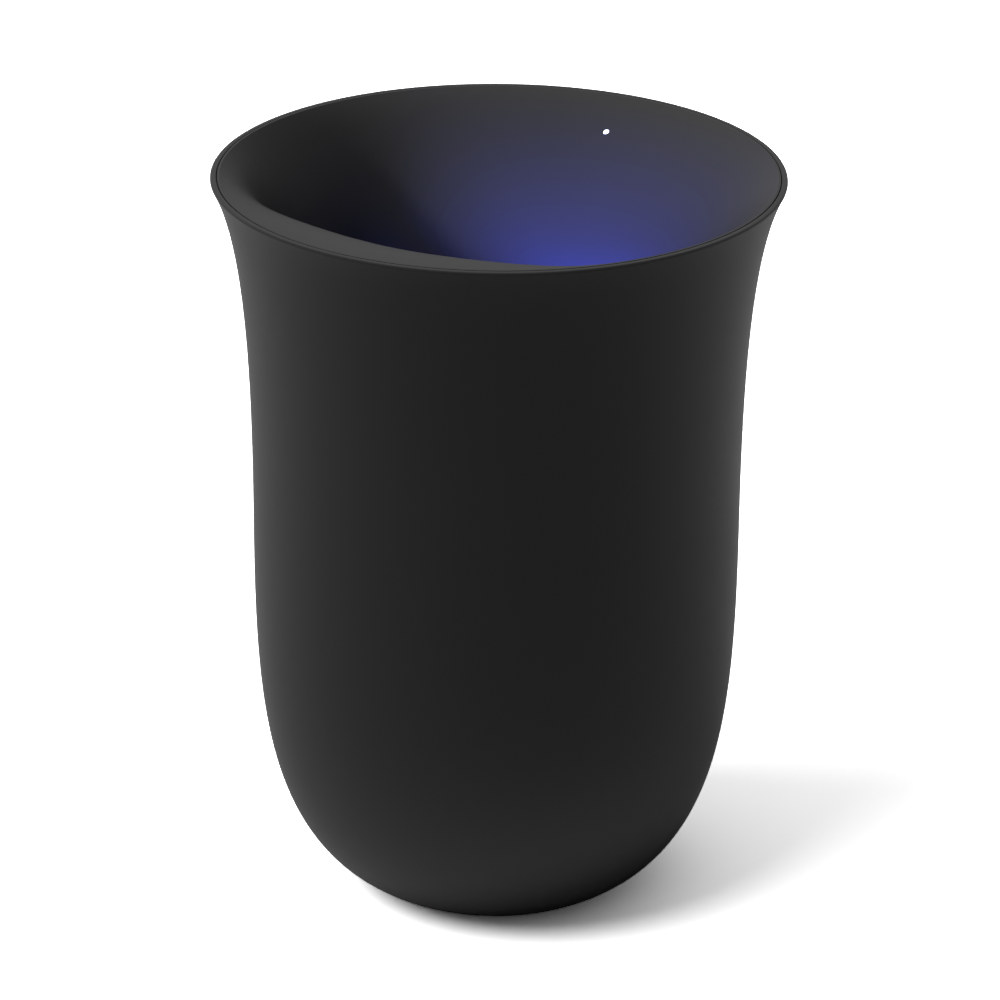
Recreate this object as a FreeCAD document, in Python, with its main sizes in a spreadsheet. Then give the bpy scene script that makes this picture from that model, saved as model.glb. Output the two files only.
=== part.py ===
import FreeCAD, Part
import math
import os
import re
import Sketcher

# Sanitizing charging station: a vase-like shell around an oblong phone well,
# with a charging coil behind the well, ultraviolet lamps in front of it and a
# board with a power inlet and a start button below it.
# Front is -Y, rear is +Y, up is +Z, the table is z = 0.  Sizes in millimetres.

Vector = FreeCAD.Vector
document = FreeCAD.newDocument("ChargingStation")

# Driving sizes
SIZES = {
    # Outer form: two curves that meet at the waist
    "height": 174.0,
    "rim_radius": 65.3,
    "rim_flare": 29.0,
    "rim_pull": 15.5,
    "waist_radius": 56.2,
    "waist_height": 92.0,
    "neck_pull": 37.4,
    "belly_pull": 44.5,
    "foot_radius": 29.2,
    "foot_angle": 25.0,
    "foot_pull": 28.6,
    "foot_gap": 1.2,
    # Shell wall, lip and the seat of the base cover
    "shell_wall": 2.4,
    "lip_land": 1.65,
    "lip_round": 0.4,
    "seam_gap": 0.2,
    "ledge_width": 0.9,
    "foot_land": 1.2,
    "sill_thickness": 1.2,
    # Liner and phone well
    "liner_wall": 2.2,
    "liner_land": 0.5,
    "liner_room": 0.8,
    "flange_thickness": 2.0,
    "floor_height": 24.8,
    "end_room": 7.8,
    "end_draft": 2.6,
    "front_share": 0.438,
    "front_draft": 2.5,
    "rear_floor": -2.9,
    "recline": 12.4,
    "well_squareness": 3.6,
    # Funnel from the well up to the round rim
    "funnel_depth": 37.0,
    "lip_spread": 3.9,
    "front_slope": 3.2,
    "rear_slope": 12.0,
    "end_slope": 43.5,
    "front_lip_pull": 13.0,
    "rear_lip_pull": 18.0,
    "end_lip_pull": 6.7,
    "front_throat_pull": 34.0,
    "rear_throat_pull": 20.0,
    "end_throat_pull": 15.7,
    # Base cover and foot
    "cover_flange": 1.2,
    "cover_spigot": 3.0,
    "cover_gap": 0.25,
    "cover_overlap": 1.7,
    "foot_pad_thickness": 2.0,
    "foot_pad_outer": 25.0,
    "foot_pad_inner": 13.0,
    "pad_gap": 0.15,
    "screw_circle": 18.0,
    "screw_radius": 1.25,
    "screw_length": 10.0,
    "screw_head_radius": 2.6,
    "screw_head_height": 1.4,
    "screw_gap": 0.1,
    # Towers below the well and the main board
    "tower_radius": 4.2,
    "nose_radius": 2.9,
    "nose_gap": 0.2,
    "rib_thickness": 3.0,
    "rib_gap": 13.3,
    "board_drop": 10.0,
    "board_thickness": 1.6,
    "board_radius": 35.5,
    "board_half_width": 29.0,
    "board_front": 27.0,
    "boss_radius": 2.6,
    "boss_x": 24.0,
    "boss_y": -14.0,
    "small_screw_radius": 0.9,
    "small_screw_length": 5.0,
    "small_head_radius": 1.7,
    "small_head_height": 1.1,
    "hole_room": 0.4,
    "overcut": 1.0,
    # Parts on the main board
    "chip_side": 7.0,
    "chip_height": 1.2,
    "driver_side": 6.0,
    "driver_height": 1.0,
    "driver_x": 19.0,
    "driver_y": 7.0,
    "choke_side": 10.0,
    "choke_height": 4.5,
    "choke_crown_radius": 4.2,
    "choke_crown": 0.5,
    "choke_x": -20.0,
    "choke_y": 8.0,
    "can_radius": 3.0,
    "can_height": 6.8,
    "can_step": 7.5,
    "can_x": -7.5,
    "can_y": -20.0,
    # Power inlet
    "usb_width": 8.94,
    "usb_height": 3.26,
    "usb_length": 7.35,
    "usb_wall": 0.3,
    "usb_overhang": 1.0,
    "usb_round": 1.3,
    "tongue_width": 6.7,
    "tongue_thickness": 0.7,
    "tongue_inset": 1.2,
    "inlet_width": 12.4,
    "inlet_height": 7.0,
    "inlet_round": 1.6,
    # Start button and its switch
    "button_rise": 21.4,
    "button_radius": 5.3,
    "button_gap": 0.35,
    "button_flange_radius": 7.2,
    "button_flange": 1.2,
    "button_room": 0.5,
    "stem_radius": 2.0,
    "switch_side": 6.0,
    "switch_depth": 3.4,
    "plunger_radius": 1.65,
    "plunger_seat": 0.8,
    "plunger_reach": 1.5,
    "plunger_room": 0.8,
    "button_board_half": 7.5,
    "button_board_gap": 0.5,
    # Ultraviolet lamp in the front wall
    "uv_drop": 19.0,
    "uv_boss": 1.6,
    "uv_boss_half": 28.0,
    "uv_boss_height": 15.0,
    "slot_half": 18.0,
    "slot_height": 5.0,
    "slot_round": 0.8,
    "window_half": 20.0,
    "window_height": 9.0,
    "window_thickness": 1.2,
    "gasket_half": 22.0,
    "gasket_height": 12.0,
    "gasket_thickness": 1.8,
    "gasket_round": 1.5,
    "uv_screw_x": 25.0,
    "emitter_side": 3.5,
    "emitter_height": 1.2,
    "emitter_step": 9.0,
    # Status light at the rear of the lip
    "status_inset": 13.1,
    "pipe_radius": 0.65,
    "pipe_gap": 0.1,
    "pipe_collar": 1.6,
    "pipe_length": 6.0,
    "lamp_side": 1.6,
    "lamp_height": 0.8,
    "status_board_thickness": 1.2,
    "status_board_left": 16.0,
    "status_board_right": 4.0,
    "status_board_half": 4.0,
    "status_screw_x": -8.0,
    # Charging coil behind the rear wall
    "coil_share": 0.607,
    "coil_pad": 0.6,
    "coil_pad_radius": 31.0,
    "coil_inner": 9.0,
    "coil_pitch": 1.9,
    "coil_band": 1.4,
    "coil_turns": 9,
    "ferrite_radius": 27.8,
    "ferrite_thickness": 1.5,
    "carrier_radius": 30.2,
    "carrier_wall": 1.8,
    "carrier_plate": 1.6,
    "carrier_ear": 4.6,
    "carrier_screw_circle": 33.2,
    # Rest for the foot of the phone
    "rest_half": 31.0,
    "rest_depth": 13.0,
    "rest_thickness": 1.5,
    "rest_round": 5.0,
    # Leads and their sockets
    "lead_radius": 1.0,
    "lead_bend": 7.0,
    "socket_side": 6.0,
    "socket_height": 5.0,
    "uv_lead_x": 12.0,
    "coil_lead_x": 9.0,
    "coil_lead_reach": 8.0,
    "coil_lead_drop": 22.6,
    "status_lead_x": -12.5,
    "status_lead_drop": 3.0,
    "lead_stub": 6.0,
    "socket_gap": 0.5,
}

sheet = document.addObject("Spreadsheet::Sheet", "Sizes")
for row, (name, value) in enumerate(SIZES.items(), 1):
    sheet.set("A%d" % row, name)
    sheet.set("B%d" % row, str(value))
    sheet.setAlias("B%d" % row, name)
document.recompute()

# Places worked out from the driving sizes
PLACES = {
    "land_radius": "rim_radius - lip_land",
    "ledge_radius": "land_radius - ledge_width",
    "ledge_height": "height - flange_thickness",
    "flange_radius": "land_radius - seam_gap",
    "mouth_radius": "flange_radius - liner_land",
    "mouth_height": "height - funnel_depth",
    "rebate_radius": "foot_radius - foot_land",
    "opening_radius": "rebate_radius - cover_overlap",
    "rebate_height": "foot_gap + cover_flange",
    "sill_height": "rebate_height + sill_thickness",
    "cover_top": "rebate_height + cover_spigot",
    "head_top": "foot_pad_thickness + screw_head_height + screw_gap",
    "floor_under": "floor_height - liner_wall",
    "board_top": "floor_under - board_drop",
    "board_under": "board_top - board_thickness",
    "usb_middle": "board_top + usb_height / 2",
    "usb_mouth": "board_radius + usb_overhang",
    "button_height": "board_top + button_rise",
    "button_board_rear": "usb_mouth - usb_length - button_board_gap",
    "switch_front": "button_board_rear + switch_depth",
    "plunger_end": "switch_front + plunger_reach",
    "front_floor": "-front_share * waist_radius",
    "uv_height": "mouth_height - uv_drop",
    "uv_wall": "front_floor - tan(front_draft) * (uv_height + uv_boss_height / 2 - floor_height)",
    "uv_seat": "uv_wall - liner_wall - uv_boss",
    "uv_board_face": "uv_seat - gasket_thickness",
    "coil_height": "floor_height + coil_share * (mouth_height - floor_height)",
    "coil_wall": "rear_floor + tan(recline) * (coil_height - floor_height)",
    "rib_height": "coil_height - coil_pad_radius - rib_gap - floor_under",
    "coil_face": "liner_wall + coil_pad",
    "ferrite_face": "coil_face + coil_band",
    "plate_face": "ferrite_face + ferrite_thickness",
    "carrier_back": "plate_face + carrier_plate",
    "status_y": "mouth_radius - status_inset",
    "socket_top": "board_top + socket_height",
    "rear_socket_y": "button_board_rear - board_thickness - socket_gap - socket_side / 2",
    "front_socket_y": "socket_gap + socket_side / 2 - board_front",
    "rest_y": "(front_floor + rear_floor) / 2",
}

places = document.addObject("Spreadsheet::Sheet", "Places")


def linked(formula):
    """Put the name of its sheet before each size name in a formula."""
    def lead(match):
        word = match.group(0)
        if word in SIZES:
            return "Sizes." + word
        if word in PLACES:
            return "Places." + word
        return word
    return re.sub(r"[A-Za-z_]+", lead, formula)


def value_of(formula):
    """Work out a formula of size names as a number."""
    return float(sheet.evalExpression(linked(formula)))


def add_place(name, formula):
    """Add one worked-out place to the second sheet."""
    PLACES[name] = formula
    row = len(places.getUsedCells()) // 2 + 1
    places.set("A%d" % row, name)
    places.set("B%d" % row, "=" + linked(formula))
    places.setAlias("B%d" % row, name)
    document.recompute()


for place_name, place_formula in list(PLACES.items()):
    add_place(place_name, place_formula)


# Outer form: poles of the curves as radius and height
OUTER_LOWER = [
    ("foot_radius", "foot_gap"),
    ("foot_radius + foot_pull * cos(foot_angle)", "foot_gap + foot_pull * sin(foot_angle)"),
    ("waist_radius", "waist_height - belly_pull"),
    ("waist_radius", "waist_height"),
]
OUTER_UPPER = [
    OUTER_LOWER[3],
    ("waist_radius", "waist_height + neck_pull"),
    ("rim_radius - rim_pull * sin(rim_flare)", "height - rim_pull * cos(rim_flare)"),
    ("rim_radius", "height"),
]
INNER_UPPER = [
    ("ledge_radius", "ledge_height"),
    ("ledge_radius - rim_pull * sin(rim_flare)", "ledge_height - rim_pull * cos(rim_flare)"),
    ("waist_radius - shell_wall", "waist_height + neck_pull"),
    ("waist_radius - shell_wall", "waist_height"),
]
SILL = ("foot_radius - shell_wall * sin(foot_angle)", "sill_height")
INNER_LOWER = [
    INNER_UPPER[3],
    ("waist_radius - shell_wall", "waist_height - belly_pull"),
    (SILL[0] + " + foot_pull * cos(foot_angle)", SILL[1] + " + foot_pull * sin(foot_angle)"),
    SILL,
]


def pole_points(poles):
    """Turn pole formulas into points in the XZ plane."""
    return [Vector(value_of(radius), 0, value_of(level)) for radius, level in poles]


def bezier(points, share):
    """Point on a cubic curve at a share of its run."""
    rest = 1 - share
    return (points[0] * rest ** 3 + points[1] * (3 * rest * rest * share)
            + points[2] * (3 * rest * share * share) + points[3] * share ** 3)


def radius_at(curves, level):
    """Radius of a wall made of two curves at a height."""
    for points in curves:
        ends = sorted((points[0].z, points[3].z))
        if ends[0] <= level <= ends[1]:
            low, high = 0.0, 1.0
            rising = points[3].z > points[0].z
            for step in range(50):
                middle = (low + high) / 2
                if (bezier(points, middle).z < level) == rising:
                    low = middle
                else:
                    high = middle
            return bezier(points, low).x
    return min((points[end] for points in curves for end in (0, 3)),
               key=lambda point: abs(point.z - level)).x


OUTER_WALL = [pole_points(OUTER_LOWER), pole_points(OUTER_UPPER)]
INNER_WALL = [pole_points(INNER_UPPER), pole_points(INNER_LOWER)]


# Helpers for bodies and sketches
def new_body(label):
    """Start a body with its own label."""
    body = document.addObject("PartDesign::Body", label)
    body.Label = label
    return body


def origin_part(body, role):
    """Find an axis or plane of a body's own origin."""
    return [part for part in body.Origin.OriginFeatures if part.Role == role][0]


def new_sketch(body, name, role, offset=None):
    """Start a sketch on an origin plane, moved along its normal by a formula."""
    sketch = body.newObject("Sketcher::SketchObject", name)
    sketch.AttachmentSupport = [(origin_part(body, role), "")]
    sketch.MapMode = "FlatFace"
    if offset:
        sketch.setExpression("AttachmentOffset.Base.z", linked(offset))
    return sketch


def bind(sketch, kind, *parts):
    """Add a measured constraint that follows a formula, given last."""
    formula = parts[-1]
    index = sketch.addConstraint(Sketcher.Constraint(kind, *parts[:-1], value_of(formula)))
    sketch.setExpression("Constraints[%d]" % index, linked(formula))


def bind_point(sketch, geometry, position, point):
    """Hold a sketch point at a pair of formulas from the origin."""
    bind(sketch, "DistanceX", -1, 1, geometry, position, point[0])
    bind(sketch, "DistanceY", -1, 1, geometry, position, point[1])


def closed_profile(sketch, runs):
    """Draw a closed outline of straight runs (2 points) and cubic curves (4 points)."""
    ends = []
    for run in runs:
        points = [Vector(value_of(across), value_of(along), 0) for across, along in run]
        if len(run) == 2:
            index = sketch.addGeometry(Part.LineSegment(*points), False)
            bind_point(sketch, index, 2, run[1])
            ends.append(((index, 1), (index, 2)))
        else:
            curve = Part.BSplineCurve()
            curve.buildFromPolesMultsKnots(points, [4, 4], [0, 1], False, 3)
            index = sketch.addGeometry(curve, False)
            sketch.exposeInternalGeometry(index)
            for pole in (2, 3, 4):
                bind_point(sketch, index + pole, 3, run[pole - 1])
            ends.append(((index + 1, 3), (index + 4, 3)))
    for number, (start, end) in enumerate(ends):
        before = ends[number - 1][1]
        sketch.addConstraint(Sketcher.Constraint("Coincident", *before, *start))


def polygon(sketch, points):
    """Draw a closed outline of straight runs."""
    closed_profile(sketch, [(points[i - 1], points[i]) for i in range(len(points))])


def circle(sketch, across, along, radius):
    """Draw a circle."""
    centre = Vector(value_of(across), value_of(along), 0)
    index = sketch.addGeometry(Part.Circle(centre, Vector(0, 0, 1), value_of(radius)), False)
    bind_point(sketch, index, 3, (across, along))
    bind(sketch, "Radius", index, radius)


def rounded_rectangle(sketch, left, right, low, high, rounding):
    """Draw a rectangle with four equal rounded corners."""
    x_low, x_high, y_low, y_high, turn = [value_of(f) for f in (left, right, low, high, rounding)]
    corners = [(x_high - turn, y_low + turn, -90), (x_high - turn, y_high - turn, 0),
               (x_low + turn, y_high - turn, 90), (x_low + turn, y_low + turn, 180)]
    arcs = []
    for x, y, start in corners:
        ring = Part.Circle(Vector(x, y, 0), Vector(0, 0, 1), turn)
        arc = Part.ArcOfCircle(ring, math.radians(start), math.radians(start + 90))
        arcs.append(sketch.addGeometry(arc, False))
    lines = []
    for number, arc in enumerate(arcs):
        start = sketch.Geometry[arc].EndPoint
        end = sketch.Geometry[arcs[(number + 1) % 4]].StartPoint
        lines.append(sketch.addGeometry(Part.LineSegment(start, end), False))
    for number in range(4):
        following = arcs[(number + 1) % 4]
        sketch.addConstraint(Sketcher.Constraint("Tangent", arcs[number], 2, lines[number], 1))
        sketch.addConstraint(Sketcher.Constraint("Tangent", lines[number], 2, following, 1))
        upright = "Vertical" if number % 2 == 0 else "Horizontal"
        sketch.addConstraint(Sketcher.Constraint(upright, lines[number]))
        if number:
            sketch.addConstraint(Sketcher.Constraint("Equal", arcs[0], arcs[number]))
    bind(sketch, "Radius", arcs[0], rounding)
    bind(sketch, "DistanceX", -1, 1, lines[0], 1, right)
    bind(sketch, "DistanceY", -1, 1, lines[1], 1, high)
    bind(sketch, "DistanceX", -1, 1, lines[2], 1, left)
    bind(sketch, "DistanceY", -1, 1, lines[3], 1, low)


def feature(body, kind, name, sketch, **settings):
    """Add a sketch feature to a body and check that it changed the volume."""
    before = body.Shape.Volume if body.Tip else 0.0
    made = body.newObject("PartDesign::" + kind, name)
    made.Profile = sketch
    for key, setting in settings.items():
        if isinstance(setting, str) and key in ("Length", "Length2"):
            made.setExpression(key, linked(setting))
        else:
            setattr(made, key, setting)
    document.recompute()
    if abs(body.Shape.Volume - before) < 1e-6:
        raise RuntimeError("%s changes nothing" % name)
    return made


def revolve(body, name, sketch):
    """Turn a sketch once round the body's upright axis."""
    return feature(body, "Revolution", name, sketch, Angle=360,
                   ReferenceAxis=(origin_part(body, "Z_Axis"), [""]))


def round_edges(body, name, base, radius, wanted):
    """Round the edges of a feature that a test picks out."""
    names = ["Edge%d" % number for number, edge in enumerate(base.Shape.Edges, 1) if wanted(edge)]
    made = body.newObject("PartDesign::Fillet", name)
    made.Base = (base, names)
    made.setExpression("Radius", linked(radius))
    document.recompute()
    return made


# Helpers for simple solids and the way they are joined
def place(thing, x, y, z):
    """Hold a solid's corner or centre at three formulas."""
    for axis, formula in zip("xyz", (x, y, z)):
        thing.setExpression("Placement.Base." + axis, linked(formula))


def box(name, x, y, z, length, width, depth):
    """Make a box from its lowest corner and its three sides."""
    solid = document.addObject("Part::Box", name)
    solid.setExpression("Length", linked(length))
    solid.setExpression("Width", linked(width))
    solid.setExpression("Height", linked(depth))
    place(solid, x, y, z)
    return solid


TURNS = {
    "up": FreeCAD.Rotation(),
    "rear": FreeCAD.Rotation(Vector(1, 0, 0), -90),
    "front": FreeCAD.Rotation(Vector(1, 0, 0), 90),
}


def rod(name, x, y, z, radius, length, way="up"):
    """Make a cylinder from the middle of its first end."""
    solid = document.addObject("Part::Cylinder", name)
    solid.setExpression("Radius", linked(radius))
    solid.setExpression("Height", linked(length))
    solid.Placement = FreeCAD.Placement(Vector(), TURNS[way])
    place(solid, x, y, z)
    return solid


def fuse(label, solids):
    """Join solids into one."""
    joined = document.addObject("Part::MultiFuse", label)
    joined.Shapes = solids
    joined.Label = label
    return joined


def cut(label, base, tools):
    """Cut tools out of a base."""
    tool = tools[0] if len(tools) == 1 else fuse(label + "_tools", tools)
    result = document.addObject("Part::Cut", label)
    result.Base = base
    result.Tool = tool
    result.Label = label
    return result


def keep_shape(label, shape):
    """Hold a shape that was made by code."""
    kept = document.addObject("Part::Feature", label)
    kept.Label = label
    kept.Shape = shape
    return kept


# Six-sided socket of a screw head, as shares of the head's radius and height
SOCKET_WIDTH = 0.45
SOCKET_DEPTH = 0.6


def screw(radius, length, head_radius, head_height):
    """Make a screw that points up from the seat of its head at the origin."""
    shank = Part.makeCylinder(radius, length - radius)
    tip = Part.makeCone(radius, radius / 2, radius, Vector(0, 0, length - radius))
    head = Part.makeCylinder(head_radius, head_height, Vector(0, 0, -head_height))
    solid = head.fuse([shank, tip]).removeSplitter()
    reach = head_radius * SOCKET_WIDTH
    turns = [math.pi * corner / 3 for corner in range(7)]
    corners = [Vector(reach * math.cos(turn), reach * math.sin(turn), -head_height) for turn in turns]
    socket = Part.Face(Part.makePolygon(corners)).extrude(Vector(0, 0, head_height * SOCKET_DEPTH))
    return solid.cut(socket)


def screws(label, sizes, spots, turn=FreeCAD.Rotation()):
    """Make a group of equal screws, one at each spot."""
    one = screw(*[value_of(size) for size in sizes])
    copies = []
    for spot in spots:
        copy = one.copy()
        copy.Placement = FreeCAD.Placement(spot, turn)
        copies.append(copy)
    return keep_shape(label, Part.makeCompound(copies))


LARGE_SCREW = ("screw_radius", "screw_length", "screw_head_radius", "screw_head_height")
SMALL_SCREW = ("small_screw_radius", "small_screw_length", "small_head_radius", "small_head_height")
NODES = []
TOUCH = 1e-4


# Outer shell
def make_outer_shell():
    """Turn the vase wall, then open it for the power plug and the button."""
    body = new_body("outer_shell")
    sketch = new_sketch(body, "shell_profile", "XZ_Plane")
    closed_profile(sketch, [
        OUTER_LOWER,
        OUTER_UPPER,
        (("rim_radius", "height"), ("land_radius", "height")),
        (("land_radius", "height"), ("land_radius", "ledge_height")),
        (("land_radius", "ledge_height"), ("ledge_radius", "ledge_height")),
        INNER_UPPER,
        INNER_LOWER,
        (SILL, ("opening_radius", "sill_height")),
        (("opening_radius", "sill_height"), ("opening_radius", "rebate_height")),
        (("opening_radius", "rebate_height"), ("rebate_radius", "rebate_height")),
        (("rebate_radius", "rebate_height"), ("rebate_radius", "foot_gap")),
        (("rebate_radius", "foot_gap"), ("foot_radius", "foot_gap")),
    ])
    wall = revolve(body, "shell_wall_turn", sketch)
    rim = value_of("rim_radius")
    top = value_of("height")

    def lip_edge(edge):
        bounds = edge.BoundBox
        return bounds.ZMin > top - TOUCH and bounds.XMax > rim - TOUCH and edge.Length > rim

    round_edges(body, "lip_rounding", wall, "lip_round", lip_edge)
    inlet = new_sketch(body, "inlet_outline", "XZ_Plane")
    rounded_rectangle(inlet, "-inlet_width / 2", "inlet_width / 2",
                      "usb_middle - inlet_height / 2", "usb_middle + inlet_height / 2", "inlet_round")
    feature(body, "Pocket", "inlet_opening", inlet, Type=1)
    hole = new_sketch(body, "button_outline", "XZ_Plane")
    circle(hole, "0", "button_height", "button_radius + button_gap")
    feature(body, "Pocket", "button_opening", hole, Type=1)
    NODES.append(body)


# Phone well: rings of points that a smooth wall is laid through
POINTS_PER_QUARTER = 8


def quarter_points(half_x, half_y, squareness):
    """Evenly spaced points on a quarter of a rounded oblong, from its X end to its Y side."""
    fine = 400
    turns = [math.pi / 2 * step / fine for step in range(fine + 1)]
    power = 2.0 / squareness
    run = [(half_x * abs(math.cos(turn)) ** power, half_y * math.sin(turn) ** power) for turn in turns]
    lengths = [0.0]
    for before, after in zip(run, run[1:]):
        lengths.append(lengths[-1] + math.dist(before, after))
    picked = []
    index = 0
    for number in range(POINTS_PER_QUARTER + 1):
        goal = lengths[-1] * number / POINTS_PER_QUARTER
        while index < fine - 1 and lengths[index + 1] < goal:
            index += 1
        share = (goal - lengths[index]) / (lengths[index + 1] - lengths[index])
        x = run[index][0] + share * (run[index + 1][0] - run[index][0])
        y = run[index][1] + share * (run[index + 1][1] - run[index][1])
        picked.append((x, y))
    return picked


def ring_points(half_x, front, rear, squareness, level):
    """Points round a rounded oblong at one height."""
    middle = (front + rear) / 2
    quarter = quarter_points(half_x, (rear - front) / 2, squareness)
    back = [(-x, y) for x, y in reversed(quarter)]
    upper = quarter[:-1] + back[:-1]
    around = upper + [(-x, -y) for x, y in upper]
    return [Vector(x, y + middle, level) for x, y in around]


def well_ring(level, growth=0.0, drop=0.0):
    """Ring of the straight part of the well, grown outwards and lowered for the outside."""
    rise = level - value_of("floor_height")
    half = radius_at(INNER_WALL, value_of("floor_height")) - value_of("end_room")
    half += rise * math.tan(math.radians(value_of("end_draft")))
    front = value_of("front_floor") - rise * math.tan(math.radians(value_of("front_draft")))
    rear = value_of("rear_floor") + rise * math.tan(math.radians(value_of("recline")))
    return ring_points(half + growth, front - growth, rear + growth,
                       value_of("well_squareness"), level - drop)


def funnel_curves():
    """Poles of the funnel curves, one curve from the well to the rim for each ring point."""
    mouth = value_of("mouth_height")
    start = well_ring(mouth)
    below = well_ring(value_of("floor_height"))
    radius = value_of("mouth_radius")
    rim = ring_points(radius, -radius, radius, 2.0, value_of("height"))
    curves = []
    for low, under, high in zip(start, below, rim):
        share = abs(high.x / radius) ** value_of("lip_spread")
        side = "front" if high.y < 0 else "rear"

        def blend(size):
            return value_of(side + size) * (1 - share) + value_of("end" + size) * share

        slope = math.radians(blend("_slope"))
        inward = Vector(-high.x / radius * math.cos(slope), -high.y / radius * math.cos(slope),
                        -math.sin(slope))
        upward = (low - under).normalize()
        curves.append([low, low + upward * blend("_throat_pull"), high + inward * blend("_lip_pull"), high])
    return curves


FUNNEL = funnel_curves()


def ring_curve(points):
    """Closed smooth curve through evenly counted ring points."""
    curve = Part.BSplineCurve()
    even = [number / len(points) for number in range(len(points) + 1)]
    curve.interpolate(Points=points, PeriodicFlag=True, Parameters=even)
    return curve


def wall_face(rows):
    """Smooth wall whose upright curves take one pole from each ring."""
    curves = [ring_curve(points) for points in rows]
    first = curves[0]
    degree = len(rows) - 1
    poles = [[curve.getPole(number) for curve in curves] for number in range(1, first.NbPoles + 1)]
    surface = Part.BSplineSurface()
    surface.buildFromPolesMultsKnots(poles, first.getMultiplicities(), [degree + 1, degree + 1],
                                     first.getKnots(), [0, 1], True, False, first.Degree, degree)
    return surface.toShape()


def closed_vessel(label, floor_ring, curves):
    """Solid between a floor ring and the top of a set of funnel curves."""
    rows = [[curve[pole] for curve in curves] for pole in range(4)]
    faces = [wall_face([floor_ring, rows[0]]), wall_face(rows)]
    for end in (floor_ring, rows[3]):
        faces.append(Part.Face(Part.Wire(ring_curve(end).toShape())))
    shell = Part.makeShell(faces)
    shell.sewShape()
    solid = Part.makeSolid(shell)
    if solid.Volume < 0:
        solid.reverse()
    return keep_shape(label, solid)


def well_space():
    """Solid that fills the phone well and its funnel."""
    return closed_vessel("well_space", well_ring(value_of("floor_height")), FUNNEL)


def well_outside():
    """Solid within the outside of the liner wall, up to the underside of its flange."""
    wall = value_of("liner_wall")
    radius = value_of("ledge_radius - liner_room / 2")
    start = well_ring(value_of("mouth_height"), wall)
    end = ring_points(radius, -radius, radius, 2.0, value_of("ledge_height"))
    curves = []
    for inside, low, high in zip(FUNNEL, start, end):
        curves.append([low, low + inside[1] - inside[0], high + inside[2] - inside[3], high])
    return closed_vessel("well_outside", well_ring(value_of("floor_height"), wall, wall), curves)


def lip_height_at(y):
    """Height of the funnel wall on the middle line at a distance to the rear."""
    curve = FUNNEL[POINTS_PER_QUARTER]
    low, high = 0.0, 1.0
    for step in range(40):
        middle = (low + high) / 2
        if bezier(curve, middle).y < y:
            low = middle
        else:
            high = middle
    return bezier(curve, low).z


# Places that depend on the walls
add_place("status_top", str(round(lip_height_at(value_of("status_y")), 4)))
add_place("lamp_top", "status_top - pipe_length")
add_place("status_board_top", "lamp_top - lamp_height")
add_place("status_board_under", "status_board_top - status_board_thickness")
add_place("button_stop", str(round(
    radius_at(INNER_WALL, value_of("button_height - button_flange_radius")), 4)))
add_place("button_flange_face", "button_stop - button_room")
add_place("button_flange_back", "button_flange_face - button_flange")

SCREW_TURNS = (90, 210, 330)
CARRIER_TURNS = (45, 135, 225, 315)
SIDES = (-1, 1)
EMITTER_COUNT = 4


def coil_placement(x=0.0, y=0.0, z=0.0):
    """Place on the reclined rear wall: x across, y down the wall, z out to the rear."""
    turn = FreeCAD.Rotation(Vector(1, 0, 0), -(90 + value_of("recline")))
    base = Vector(0, value_of("coil_wall"), value_of("coil_height"))
    return FreeCAD.Placement(base + turn.multVec(Vector(x, y, z)), turn)


def coil_rod(name, radius, length, x=0.0, y=0.0, z=0.0):
    """Cylinder that stands on the reclined rear wall."""
    solid = document.addObject("Part::Cylinder", name)
    solid.setExpression("Radius", linked(radius))
    solid.setExpression("Height", linked(length))
    solid.Placement = coil_placement(x, y, z)
    return solid


def round_spots(circle_size, turns):
    """Formula pairs for places on a circle."""
    return [("%s * cos(%d)" % (circle_size, turn), "%s * sin(%d)" % (circle_size, turn)) for turn in turns]


def carrier_spots():
    """Places of the coil carrier screws on the rear wall."""
    circle_size = value_of("carrier_screw_circle")
    return [(circle_size * math.cos(math.radians(turn)), circle_size * math.sin(math.radians(turn)))
            for turn in CARRIER_TURNS]


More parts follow.
